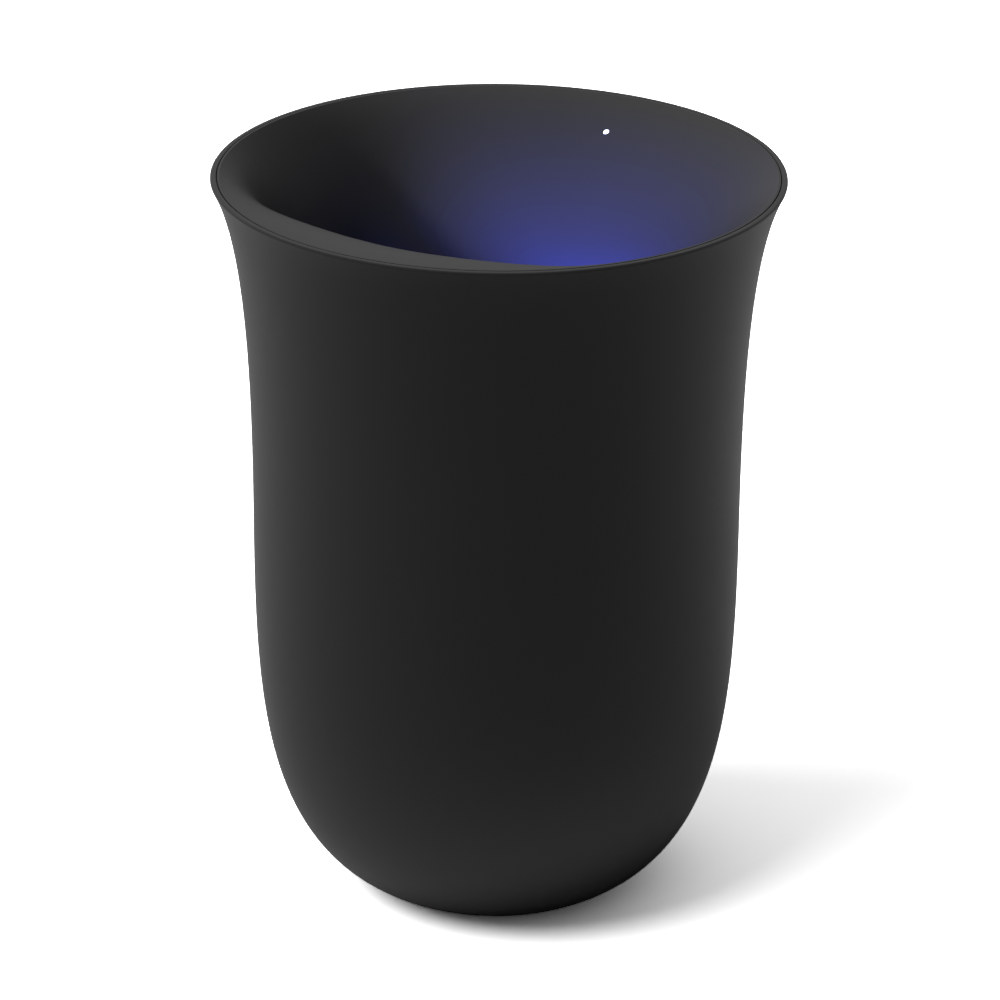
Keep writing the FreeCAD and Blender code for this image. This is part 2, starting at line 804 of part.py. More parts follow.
def make_inner_liner():
    """Build the liner: funnel, well, screw towers, bosses, lamp slot and light hole."""
    added = [
        well_outside(),
        rod("liner_flange", "0", "0", "ledge_height", "flange_radius", "flange_thickness"),
        coil_rod("coil_pad_seat", "coil_pad_radius", "coil_face"),
        box("uv_boss_block", "-uv_boss_half", "uv_seat", "uv_height - uv_boss_height / 2",
            "2 * uv_boss_half", "front_floor - uv_seat", "uv_boss_height"),
        rod("status_boss", "status_screw_x", "status_y", "status_board_top", "boss_radius",
            "status_top - status_board_top"),
        box("rear_rib", "-rib_thickness / 2", "rear_floor", "floor_under",
            "rib_thickness", "screw_circle - rear_floor", "rib_height"),
    ]
    removed = [
        well_space(),
        box("lamp_slot", "-slot_half", "uv_seat - overcut", "uv_height - slot_height / 2",
            "2 * slot_half", "front_floor - uv_seat + overcut", "slot_height"),
        box("window_seat", "-window_half", "uv_seat - overcut", "uv_height - window_height / 2",
            "2 * window_half", "window_thickness + overcut", "window_height"),
        rod("light_hole", "0", "status_y", "lamp_top", "pipe_radius + pipe_gap", "height - lamp_top"),
        rod("status_screw_hole", "status_screw_x", "status_y", "status_board_top - overcut",
            "small_screw_radius + screw_gap",
            "small_screw_length - status_board_thickness + overcut + hole_room"),
    ]
    towers = zip(round_spots("screw_circle", SCREW_TURNS), ("rib_height", "overcut", "overcut"))
    for number, ((x, y), reach) in enumerate(towers):
        added.append(rod("tower_%d" % number, x, y, "board_top", "tower_radius", "board_drop + " + reach))
        added.append(rod("tower_nose_%d" % number, x, y, "cover_top", "nose_radius",
                         "board_top - cover_top + overcut"))
        removed.append(rod("tower_hole_%d" % number, x, y, "cover_top - overcut",
                           "screw_radius + screw_gap / 2", "screw_length + overcut"))
    for side in SIDES:
        across = "%d * boss_x" % side
        added.append(rod("board_boss", across, "boss_y", "board_top", "boss_radius", "board_drop + overcut"))
        removed.append(rod("board_boss_hole", across, "boss_y", "board_top - overcut",
                           "small_screw_radius + screw_gap", "small_screw_length + overcut"))
        across = "%d * uv_screw_x" % side
        added.append(rod("uv_post", across, "uv_board_face", "uv_height", "boss_radius",
                         "gasket_thickness + overcut", "rear"))
        removed.append(rod("uv_post_hole", across, "uv_board_face - overcut", "uv_height",
                           "small_screw_radius + screw_gap",
                           "small_screw_length - board_thickness + overcut + hole_room", "rear"))
    for x, y in carrier_spots():
        added.append(coil_rod("carrier_boss", "boss_radius", "plate_face", x, y))
        hole_start = value_of("plate_face - small_screw_length + carrier_plate")
        removed.append(coil_rod("carrier_boss_hole", "small_screw_radius + screw_gap",
                                "small_screw_length", x, y, hole_start))
    NODES.append(cut("inner_liner", fuse("liner_form", added), removed))


# Base cover, foot and the screws that pull the whole housing together
def make_base():
    """Turn the base cover, its soft foot ring and its three screws."""
    body = new_body("base_cover")
    sketch = new_sketch(body, "cover_profile", "XZ_Plane")
    flange = "rebate_radius - cover_gap"
    spigot = "opening_radius - cover_gap"
    polygon(sketch, [
        ("0", "foot_gap"),
        ("foot_pad_inner - pad_gap", "foot_gap"),
        ("foot_pad_inner - pad_gap", "foot_pad_thickness"),
        ("foot_pad_outer + pad_gap", "foot_pad_thickness"),
        ("foot_pad_outer + pad_gap", "foot_gap"),
        (flange, "foot_gap"),
        (flange, "rebate_height"),
        (spigot, "rebate_height"),
        (spigot, "cover_top"),
        ("0", "cover_top"),
    ])
    revolve(body, "cover_turn", sketch)
    heads = new_sketch(body, "head_seat", "XY_Plane", "head_top")
    circle(heads, "0", "screw_circle", "screw_head_radius + screw_gap")
    seat = feature(body, "Pocket", "head_pocket", heads, Type=1)
    shanks = new_sketch(body, "shank_outline", "XY_Plane", "cover_top")
    circle(shanks, "0", "screw_circle", "screw_radius + screw_gap")
    hole = feature(body, "Pocket", "shank_hole", shanks, Type=1)
    pattern = body.newObject("PartDesign::PolarPattern", "screw_pattern")
    pattern.Originals = [seat, hole]
    pattern.Axis = (origin_part(body, "Z_Axis"), [""])
    pattern.Angle = 360
    pattern.Occurrences = len(SCREW_TURNS)
    body.Tip = pattern
    document.recompute()
    NODES.append(body)

    pad = new_body("foot_pad")
    ring = new_sketch(pad, "foot_ring", "XY_Plane")
    circle(ring, "0", "0", "foot_pad_outer")
    circle(ring, "0", "0", "foot_pad_inner")
    feature(pad, "Pad", "foot_ring_pad", ring, Length="foot_pad_thickness")
    NODES.append(pad)

    seat_level = value_of("head_top")
    around = round_spots("screw_circle", SCREW_TURNS)
    spots = [Vector(value_of(x), value_of(y), seat_level) for x, y in around]
    NODES.append(screws("base_screws", LARGE_SCREW, spots))


# Soft rest on the floor of the well
def make_rest_pad():
    """Pad a rounded strip on the well floor."""
    body = new_body("rest_pad")
    sketch = new_sketch(body, "rest_outline", "XY_Plane", "floor_height")
    rounded_rectangle(sketch, "-rest_half", "rest_half", "rest_y - rest_depth / 2",
                      "rest_y + rest_depth / 2", "rest_round")
    strip = feature(body, "Pad", "rest_strip", sketch, Length="rest_thickness")
    top = value_of("floor_height + rest_thickness")
    round_edges(body, "rest_rounding", strip, "rest_thickness / 3",
                lambda edge: edge.BoundBox.ZMin > top - TOUCH)
    NODES.append(body)


# Main board with its parts
def square_chip(label, x, y, side, tall):
    """Make a square part that stands on the main board around a middle point."""
    return box(label, x + " - %s / 2" % side, y + " - %s / 2" % side, "board_top", side, side, tall)


def make_main_board():
    """Cut the round board to width and set its screws, chips and sockets."""
    disc = rod("board_disc", "0", "0", "board_under", "board_radius", "board_thickness")
    slab = box("board_slab", "-board_half_width", "-board_front", "board_under",
               "2 * board_half_width", "board_front + board_radius + overcut", "board_thickness")
    blank = document.addObject("Part::Common", "board_blank")
    blank.Base = disc
    blank.Tool = slab
    through = "board_thickness + 2 * overcut"
    holes = [rod("board_tower_hole", x, y, "board_under - overcut", "nose_radius + nose_gap", through)
             for x, y in round_spots("screw_circle", SCREW_TURNS)]
    holes += [rod("board_screw_hole", "%d * boss_x" % side, "boss_y", "board_under - overcut",
                  "small_screw_radius + screw_gap", through) for side in SIDES]
    NODES.append(cut("main_board", blank, holes))
    spots = [Vector(side * value_of("boss_x"), value_of("boss_y"), value_of("board_under")) for side in SIDES]
    NODES.append(screws("board_screws", SMALL_SCREW, spots))

    NODES.append(square_chip("controller_chip", "0", "0", "chip_side", "chip_height"))
    NODES.append(square_chip("charger_chip", "driver_x", "driver_y", "driver_side", "driver_height"))
    NODES.append(fuse("power_choke", [
        square_chip("choke_block", "choke_x", "choke_y", "choke_side", "choke_height"),
        rod("choke_crown_disc", "choke_x", "choke_y", "board_top", "choke_crown_radius",
            "choke_height + choke_crown"),
    ]))
    cans = []
    for step in (-1, 0, 1):
        across = value_of("can_x") + step * value_of("can_step")
        foot = Vector(across, value_of("can_y"), value_of("board_top"))
        cans.append(Part.makeCylinder(value_of("can_radius"), value_of("can_height"), foot))
    NODES.append(keep_shape("capacitors", Part.makeCompound(cans)))


# Power inlet
def make_power_inlet():
    """Pad the flat metal tube of the inlet and the tongue inside it."""
    body = new_body("usb_socket_shell")
    sketch = new_sketch(body, "inlet_tube", "XZ_Plane", "-usb_mouth")
    half = "usb_width / 2"
    low = "board_top"
    high = "board_top + usb_height"
    rounded_rectangle(sketch, "-" + half, half, low, high, "usb_round")
    feature(body, "Pad", "tube_block", sketch, Length="usb_length")
    bore = new_sketch(body, "inlet_bore", "XZ_Plane", "-usb_mouth")
    rounded_rectangle(bore, "usb_wall - " + half, half + " - usb_wall", low + " + usb_wall",
                      high + " - usb_wall", "usb_round - usb_wall")
    feature(body, "Pocket", "tube_bore", bore, Length="usb_length - usb_wall", Reversed=True)
    NODES.append(body)
    tongue = box("usb_socket_tongue", "-tongue_width / 2", "usb_mouth - usb_length + usb_wall",
                 "usb_middle - tongue_thickness / 2", "tongue_width", "usb_length - tongue_inset",
                 "tongue_thickness")
    NODES.append(tongue)


# Start button, its switch and their small upright board
def make_start_button():
    """Build the button that follows the shell's face, with its stem, switch and board."""
    NODES.append(box("button_board", "-button_board_half", "button_board_rear - board_thickness", "board_top",
                     "2 * button_board_half", "board_thickness", "button_rise + switch_side"))
    housing = box("switch_block", "-switch_side / 2", "button_board_rear", "button_height - switch_side / 2",
                  "switch_side", "switch_depth", "switch_side")
    well = rod("switch_well", "0", "switch_front - plunger_seat - plunger_room", "button_height",
               "plunger_radius + button_gap", "plunger_seat + plunger_room + overcut", "rear")
    NODES.append(cut("tact_switch", housing, [well]))
    NODES.append(rod("switch_plunger", "0", "switch_front - plunger_seat", "button_height", "plunger_radius",
                     "plunger_seat + plunger_reach", "rear"))

    edges = []
    for points in OUTER_WALL:
        curve = Part.BezierCurve()
        curve.setPoles(points)
        edges.append(curve.toShape())
    first = OUTER_WALL[0][0]
    last = OUTER_WALL[1][3]
    edges.append(Part.makeLine(last, Vector(0, 0, last.z)))
    edges.append(Part.makeLine(Vector(0, 0, last.z), Vector(0, 0, first.z)))
    edges.append(Part.makeLine(Vector(0, 0, first.z), first))
    form = keep_shape("outer_form", Part.Face(Part.Wire(edges)).revolve(Vector(), Vector(0, 0, 1), 360))
    face = document.addObject("Part::Common", "button_face")
    face.Base = rod("button_cap", "0", "button_flange_face", "button_height", "button_radius",
                    "rim_radius - button_flange_face", "rear")
    face.Tool = form
    NODES.append(fuse("start_button", [
        face,
        rod("button_flange_disc", "0", "button_flange_back", "button_height", "button_flange_radius",
            "button_flange", "rear"),
        rod("button_stem", "0", "plunger_end", "button_height", "stem_radius",
            "button_flange_back - plunger_end", "rear"),
    ]))


# Ultraviolet lamp in the front wall of the well
def make_uv_lamp():
    """Stack window, gasket and lamp board on the boss of the front wall."""
    middle = "uv_height"
    NODES.append(box("uv_window", "pad_gap - window_half", "uv_seat",
                     middle + " - window_height / 2 + pad_gap", "2 * (window_half - pad_gap)",
                     "window_thickness", "window_height - 2 * pad_gap"))
    gasket = new_body("uv_gasket")
    sketch = new_sketch(gasket, "gasket_outline", "XZ_Plane", "-uv_seat")
    rounded_rectangle(sketch, "-gasket_half", "gasket_half", middle + " - gasket_height / 2",
                      middle + " + gasket_height / 2", "gasket_round")
    rounded_rectangle(sketch, "-slot_half", "slot_half", middle + " - slot_height / 2",
                      middle + " + slot_height / 2", "slot_round")
    feature(gasket, "Pad", "gasket_frame", sketch, Length="gasket_thickness")
    NODES.append(gasket)
    slab = box("uv_board_slab", "-uv_boss_half", "uv_board_face - board_thickness",
               middle + " - uv_boss_height / 2", "2 * uv_boss_half", "board_thickness", "uv_boss_height")
    behind = "uv_board_face - board_thickness - overcut"
    holes = [rod("uv_board_hole", "%d * uv_screw_x" % side, behind, middle,
                 "small_screw_radius + screw_gap", "board_thickness + 2 * overcut", "rear") for side in SIDES]
    NODES.append(cut("uv_board", slab, holes))
    side = value_of("emitter_side")
    chips = []
    for number in range(EMITTER_COUNT):
        across = (number - (EMITTER_COUNT - 1) / 2) * value_of("emitter_step")
        corner = Vector(across - side / 2, value_of("uv_board_face"), value_of(middle) - side / 2)
        chips.append(Part.makeBox(side, value_of("emitter_height"), side, corner))
    NODES.append(keep_shape("uv_emitters", Part.makeCompound(chips)))
    rear = value_of("uv_board_face - board_thickness")
    spots = [Vector(side * value_of("uv_screw_x"), rear, value_of(middle)) for side in SIDES]
    NODES.append(screws("uv_board_screws", SMALL_SCREW, spots, TURNS["rear"]))


# Status light behind the rear of the lip
def make_status_light():
    """Build the light pipe, its lamp and the small board below the lip."""
    pin = rod("pipe_pin", "0", "status_y", "lamp_top", "pipe_radius", "height - lamp_top")
    trimmed = cut("pipe_trimmed", pin, [document.getObject("well_space")])
    collar = rod("pipe_collar_ring", "0", "status_y", "lamp_top", "pipe_collar", "pipe_length / 4")
    NODES.append(fuse("status_light_pipe", [trimmed, collar]))
    NODES.append(box("status_lamp", "-lamp_side / 2", "status_y - lamp_side / 2", "status_board_top",
                     "lamp_side", "lamp_side", "lamp_height"))
    slab = box("status_slab", "-status_board_left", "status_y - status_board_half", "status_board_under",
               "status_board_left + status_board_right", "2 * status_board_half", "status_board_thickness")
    hole = rod("status_slab_hole", "status_screw_x", "status_y", "status_board_under - overcut",
               "small_screw_radius + screw_gap", "status_board_thickness + 2 * overcut")
    NODES.append(cut("status_board", slab, [hole]))
    spot = Vector(value_of("status_screw_x"), value_of("status_y"), value_of("status_board_under"))
    NODES.append(screws("status_board_screw", SMALL_SCREW, [spot]))


# Charging coil on the reclined rear wall
def make_charging_coil():
    """Wind the flat coil, back it with ferrite and hold both in a tray with four ears."""
    pitch = value_of("coil_pitch")
    radius = value_of("coil_inner")
    band = value_of("coil_band")
    level = value_of("coil_face") + band / 2
    start = Vector(radius, 0, level)
    arcs = []
    for half in range(2 * int(value_of("coil_turns"))):
        way = 1 if half % 2 == 0 else -1
        centre = Vector(start.x - way * radius, 0, level)
        middle = centre + Vector(0, way * radius, 0)
        end = centre - Vector(way * radius, 0, 0)
        arcs.append(Part.Arc(start, middle, end).toShape())
        start = end
        radius += pitch / 2
    path = Part.Wire(arcs)
    first = Vector(value_of("coil_inner"), 0, level)
    square = ((-1, -1), (1, -1), (1, 1), (-1, 1), (-1, -1))
    corners = [first + Vector(x * band / 2, 0, z * band / 2) for x, z in square]
    winding = path.makePipeShell([Part.makePolygon(corners)], True, False)
    coil = keep_shape("charging_coil", winding)
    coil.Placement = coil_placement()
    NODES.append(coil)
    NODES.append(coil_rod("ferrite_plate", "ferrite_radius", "ferrite_thickness", z=value_of("ferrite_face")))

    body = new_body("coil_carrier")
    plate = new_sketch(body, "carrier_plate_outline", "XY_Plane", "plate_face")
    circle(plate, "0", "0", "carrier_radius")
    feature(body, "Pad", "carrier_disc", plate, Length="carrier_plate")
    wall = new_sketch(body, "carrier_wall_outline", "XY_Plane", "coil_face")
    circle(wall, "0", "0", "carrier_radius")
    circle(wall, "0", "0", "carrier_radius - carrier_wall")
    feature(body, "Pad", "carrier_wall_ring", wall, Length="plate_face - coil_face")
    turn = math.radians(CARRIER_TURNS[0])
    across = "carrier_screw_circle * %.6f" % math.cos(turn)
    ear = new_sketch(body, "ear_outline", "XY_Plane", "plate_face")
    circle(ear, across, across, "carrier_ear")
    tab = feature(body, "Pad", "ear_tab", ear, Length="carrier_plate")
    bore = new_sketch(body, "ear_bore", "XY_Plane", "carrier_back")
    circle(bore, across, across, "small_screw_radius + screw_gap")
    hole = feature(body, "Pocket", "ear_hole", bore, Length="carrier_plate")
    pattern = body.newObject("PartDesign::PolarPattern", "ear_pattern")
    pattern.Originals = [tab, hole]
    pattern.Axis = (origin_part(body, "Z_Axis"), [""])
    pattern.Angle = 360
    pattern.Occurrences = len(CARRIER_TURNS)
    body.Tip = pattern
    body.Placement = coil_placement()
    document.recompute()
    NODES.append(body)
    back = value_of("carrier_back")
    spots = [coil_placement(x, y, back).Base for x, y in carrier_spots()]
    inward = coil_placement().Rotation.multiply(FreeCAD.Rotation(Vector(1, 0, 0), 180))
    NODES.append(screws("coil_carrier_screws", SMALL_SCREW, spots, inward))


# Leads between the boards
def bent_path(points, bend):
    """Wire of straight runs through points, with a round bend at each corner."""
    edges = []
    start = points[0]
    for before, corner, after in zip(points, points[1:], points[2:]):
        arriving = (corner - before).normalize()
        leaving = (after - corner).normalize()
        half_turn = arriving.getAngle(leaving) / 2
        back = bend * math.tan(half_turn)
        first = corner - arriving * back
        last = corner + leaving * back
        inward = (leaving - arriving).normalize()
        middle = corner + inward * (bend / math.cos(half_turn) - bend)
        edges.append(Part.makeLine(start, first))
        edges.append(Part.Arc(first, middle, last).toShape())
        start = last
    edges.append(Part.makeLine(start, points[-1]))
    return Part.Wire(edges)


def lead(label, points):
    """Sweep a round lead along a bent path."""
    path = bent_path(points, value_of("lead_bend"))
    direction = points[1] - points[0]
    section = Part.Wire(Part.makeCircle(value_of("lead_radius"), points[0], direction))
    NODES.append(keep_shape(label, path.makePipeShell([section], True, False)))


def make_leads():
    """Run the lamp, coil and status leads down to three sockets on the main board."""
    side = value_of("socket_side")
    entry = value_of("socket_top")
    rear = value_of("rear_socket_y")
    stub = entry + value_of("lead_stub")
    sockets = []

    def socket(x, y):
        corner = Vector(x - side / 2, y - side / 2, value_of("board_top"))
        sockets.append(Part.makeBox(side, side, value_of("socket_height"), corner))

    x = value_of("uv_lead_x")
    y = value_of("uv_board_face - board_thickness / 2")
    front = value_of("front_socket_y")
    level = value_of("board_top + socket_height / 2")
    lead("uv_lead", [
        Vector(x, y, value_of("uv_height - uv_boss_height / 2")),
        Vector(x, y, level),
        Vector(x, front - side / 2, level),
    ])
    socket(x, front)

    x = value_of("coil_lead_x")
    down = value_of("coil_lead_drop")
    back = value_of("carrier_back")
    outlet = coil_placement(x, down, back).Base
    corner = coil_placement(x, down, back + value_of("coil_lead_reach")).Base
    lead("coil_lead", [outlet, corner, Vector(x, rear, stub), Vector(x, rear, entry)])
    socket(x, rear)

    x = value_of("status_lead_x")
    y = value_of("status_y")
    under = value_of("status_board_under")
    lead("status_lead", [
        Vector(x, y, under),
        Vector(x, y, under - value_of("status_lead_drop")),
        Vector(x, rear, corner.z),
        Vector(x, rear, entry),
    ])
    socket(x, rear)
    NODES.append(keep_shape("lead_sockets", Part.makeCompound(sockets)))


make_outer_shell()
make_inner_liner()
make_base()
make_rest_pad()
make_main_board()
make_power_inlet()
make_start_button()
make_uv_lamp()
make_status_light()
make_charging_coil()
make_leads()
document.recompute()

# Check every object, then write one file for each piece
for thing in document.Objects:
    if any(word in state for state in thing.State for word in ("Invalid", "Error")):
        raise RuntimeError("%s is not up to date: %s" % (thing.Label, thing.State))
os.makedirs("parts", exist_ok=True)
for node in NODES:
    if node.Shape.isNull() or not node.Shape.isValid():
        raise RuntimeError("%s has no sound shape" % node.Label)
    node.Shape.exportStep("parts/%s.step" % node.Label)
    print("%-22s solids %d volume %9.1f" % (node.Label, len(node.Shape.Solids), node.Shape.Volume))
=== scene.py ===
import logging
import math
from dataclasses import dataclass, field
from enum import Enum
from functools import cache

import bmesh
import bpy
from mathutils import Matrix, Vector


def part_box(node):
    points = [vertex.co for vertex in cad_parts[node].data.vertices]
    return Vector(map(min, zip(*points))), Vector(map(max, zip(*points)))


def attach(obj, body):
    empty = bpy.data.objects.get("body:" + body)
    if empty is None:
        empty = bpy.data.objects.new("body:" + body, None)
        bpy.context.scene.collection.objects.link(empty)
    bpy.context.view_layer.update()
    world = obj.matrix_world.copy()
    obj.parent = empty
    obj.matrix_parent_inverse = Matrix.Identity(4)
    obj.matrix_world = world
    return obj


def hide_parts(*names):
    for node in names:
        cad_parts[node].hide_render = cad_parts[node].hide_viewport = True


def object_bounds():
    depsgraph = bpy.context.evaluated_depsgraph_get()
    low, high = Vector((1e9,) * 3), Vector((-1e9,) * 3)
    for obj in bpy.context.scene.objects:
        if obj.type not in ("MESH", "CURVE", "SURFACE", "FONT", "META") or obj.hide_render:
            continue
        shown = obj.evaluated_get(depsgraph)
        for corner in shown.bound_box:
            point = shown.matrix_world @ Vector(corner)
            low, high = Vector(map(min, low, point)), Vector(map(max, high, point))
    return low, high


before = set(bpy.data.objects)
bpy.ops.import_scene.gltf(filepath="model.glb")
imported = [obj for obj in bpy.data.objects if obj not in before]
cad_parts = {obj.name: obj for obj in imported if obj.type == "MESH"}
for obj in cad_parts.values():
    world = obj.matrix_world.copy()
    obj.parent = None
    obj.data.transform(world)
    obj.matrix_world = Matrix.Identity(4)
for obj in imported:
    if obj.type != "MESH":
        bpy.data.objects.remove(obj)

log = logging.getLogger("charging_station")

CAD_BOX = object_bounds()
MM = 0.001
WELD = 1e-7
CREASE = 35.0
STRAND_CREASE = 60.0
CORNER_STEPS = 8
SMALL_CORNER_STEPS = 4
TINY_CORNER_STEPS = 3
STRAND_SIDES = 10
WIRE_SIDES = 12
STEPS_PER_LAY = 12.0
STEPS_PER_TURN = 72
BUMP_STRENGTH = 0.35
NOISE_MIDDLE = 0.5

# Sockets of a colour mix, by number because its number and vector sockets share their names
MIX_FACTOR = 0
MIX_FIRST = 6
MIX_SECOND = 7
MIX_RESULT = 2

Color = tuple[float, float, float]
Triple = tuple[float, float, float]
Flat = tuple[float, float]
Ring = list[Vector]
NodeTree = bpy.types.NodeTree
Node = bpy.types.Node
Socket = bpy.types.NodeSocket
Material = bpy.types.Material
Mesh = bpy.types.Mesh
Piece = bpy.types.Object
Values = dict[str | int, object]
Pattern = tuple[NodeTree, float, Values]


class Body(Enum):
    """Rigid bodies of the station that a piece can ride on."""

    HOUSING = "housing"
    BUTTON = "button"


class Slot(Enum):
    """Material slots of the record."""

    SHELL = "shell_charcoal"
    BUTTON = "button_charcoal"
    SILICONE = "silicone"
    SCREW = "screw_steel"
    CHIP = "chip_black"
    CAN = "can_metal"
    INLET = "inlet_metal"
    COPPER = "copper"
    QUARTZ = "quartz"
    EMITTER = "emitter"
    LEAD = "lead_black"


class Glow(Enum):
    """Lamp colours of the station."""

    STATUS = (0.92, 0.95, 1.0)
    ULTRAVIOLET = (0.06, 0.09, 1.0)


class Facing(Enum):
    """Side that a flat outline looks to."""

    UP = "up"
    REAR = "rear"


# Node tools


def fill(tree: NodeTree, node: Node, values: Values) -> None:
    """Give inputs of a node links from sockets, or plain values.

    Args:
        tree: Tree of the node.
        node: Node to fill.
        values: Output sockets or plain values, by the input's name or number.
    """
    for key, value in values.items():
        if isinstance(value, bpy.types.NodeSocket):
            tree.links.new(value, node.inputs[key])
        else:
            node.inputs[key].default_value = value


def add_node(tree: NodeTree, kind: str, values: Values | None = None, **settings: object) -> Node:
    """Add a node to a tree.

    Args:
        tree: Tree that takes the node.
        kind: Blender's identifier of the node type.
        values: Output sockets or plain values that go in, by the input's name or number.
        **settings: Properties of the node.

    Returns:
        The new node.
    """
    node = tree.nodes.new(kind)
    for key, value in settings.items():
        setattr(node, key, value)
    fill(tree, node, values or {})
    return node


def calc(tree: NodeTree, operation: str, *terms: object) -> Socket:
    """Add a sum of sockets or numbers to a tree and return the socket of its result."""
    return add_node(tree, "ShaderNodeMath", dict(enumerate(terms)), operation=operation).outputs[0]


def calc_vector(tree: NodeTree, operation: str, *terms: object, scale: object = None) -> Socket:
    """Add a vector sum to a tree.

    Args:
        tree: Tree that takes the node.
        operation: Blender's name of the sum.
        *terms: Sockets or vectors that go in.
        scale: Factor of a SCALE sum.

    Returns:
        Socket of the result, a number for LENGTH and DOT_PRODUCT.
    """
    node = add_node(tree, "ShaderNodeVectorMath", dict(enumerate(terms)), operation=operation)
    if scale is not None:
        fill(tree, node, {"Scale": scale})
    return node.outputs["Value" if operation in ("LENGTH", "DOT_PRODUCT") else "Vector"]


def new_tree(name: str, kind: str, inputs: dict[str, tuple[str, object]],
             outputs: dict[str, str]) -> NodeTree:
    """Start a node tree with named sockets.

    Args:
        name: Name of the tree.
        kind: Blender's identifier of the tree type.
        inputs: Socket kind and default value by input name; None leaves the default.
        outputs: Socket kind by output name.

    Returns:
        The tree, with its input and output nodes in place.
    """
    tree = bpy.data.node_groups.new(name, kind)
    for label, (socket_kind, default) in inputs.items():
        socket = tree.interface.new_socket(label, in_out="INPUT", socket_type=socket_kind)
        if default is not None:
            socket.default_value = default
    for label, socket_kind in outputs.items():
        tree.interface.new_socket(label, in_out="OUTPUT", socket_type=socket_kind)
    tree.nodes.new("NodeGroupInput")
    tree.nodes.new("NodeGroupOutput")
    return tree


# Shader groups that several finishes share


@cache
def fine_grain_group() -> NodeTree:
    """Build the moulded grain: a fine height for bump and a shade that drifts softly over the surface.

    Returns:
        Group with inputs Position, Tint, Grain Scale, Mottle, Roughness Base and Roughness Spread,
        and outputs Color, Roughness and Height.
    """
    group = new_tree("fine_grain", "ShaderNodeTree", {
        "Position": ("NodeSocketVector", None),
        "Tint": ("NodeSocketColor", (0.05, 0.05, 0.05, 1.0)),
        "Grain Scale": ("NodeSocketFloat", 2500.0),
        "Mottle": ("NodeSocketFloat", 0.12),
        "Roughness Base": ("NodeSocketFloat", 0.5),
        "Roughness Spread": ("NodeSocketFloat", 0.08),
    }, {"Color": "NodeSocketColor", "Roughness": "NodeSocketFloat", "Height": "NodeSocketFloat"})
    given = group.nodes["Group Input"].outputs
    grain = add_node(group, "ShaderNodeTexNoise", {
        "Vector": given["Position"],
        "Scale": given["Grain Scale"],
        "Detail": 2.0,
        "Roughness": 0.6,
    })
    clouds = add_node(group, "ShaderNodeTexNoise", {
        "Vector": given["Position"],
        "Scale": 28.0,
        "Detail": 3.0,
        "Roughness": 0.55,
    })
    drift = calc(group, "SUBTRACT", clouds.outputs["Fac"], NOISE_MIDDLE)
    shade = calc(group, "MULTIPLY_ADD", drift, given["Mottle"], 1.0)
    fill(group, group.nodes["Group Output"], {
        "Color": calc_vector(group, "SCALE", given["Tint"], scale=shade),
        "Roughness": calc(group, "MULTIPLY_ADD", drift, given["Roughness Spread"], given["Roughness Base"]),
        "Height": grain.outputs["Fac"],
    })
    return group


@cache
def drawn_lines_group() -> NodeTree:
    """Build the fine lines of drawn or rolled metal.

    Returns:
        Group with inputs Position, Tint, Stretch and Roughness Base, and outputs Color, Roughness and Height.
    """
    group = new_tree("drawn_lines", "ShaderNodeTree", {
        "Position": ("NodeSocketVector", None),
        "Tint": ("NodeSocketColor", (0.6, 0.6, 0.6, 1.0)),
        "Stretch": ("NodeSocketVector", (1.0, 1.0, 0.05)),
        "Roughness Base": ("NodeSocketFloat", 0.3),
    }, {"Color": "NodeSocketColor", "Roughness": "NodeSocketFloat", "Height": "NodeSocketFloat"})
    given = group.nodes["Group Input"].outputs
    stain_spread = 0.3
    stain_base = 0.82
    line_spread = 0.2
    lines = add_node(group, "ShaderNodeTexNoise", {
        "Vector": calc_vector(group, "MULTIPLY", given["Position"], given["Stretch"]),
        "Scale": 4000.0,
        "Detail": 3.0,
        "Roughness": 0.65,
    })
    stain = add_node(group, "ShaderNodeTexNoise", {
        "Vector": given["Position"],
        "Scale": 220.0,
        "Detail": 2.0,
    })
    shade = calc(group, "MULTIPLY_ADD", stain.outputs["Fac"], stain_spread, stain_base)
    drift = calc(group, "SUBTRACT", lines.outputs["Fac"], NOISE_MIDDLE)
    fill(group, group.nodes["Group Output"], {
        "Color": calc_vector(group, "SCALE", given["Tint"], scale=shade),
        "Roughness": calc(group, "MULTIPLY_ADD", drift, line_spread, given["Roughness Base"]),
        "Height": lines.outputs["Fac"],
    })
    return group


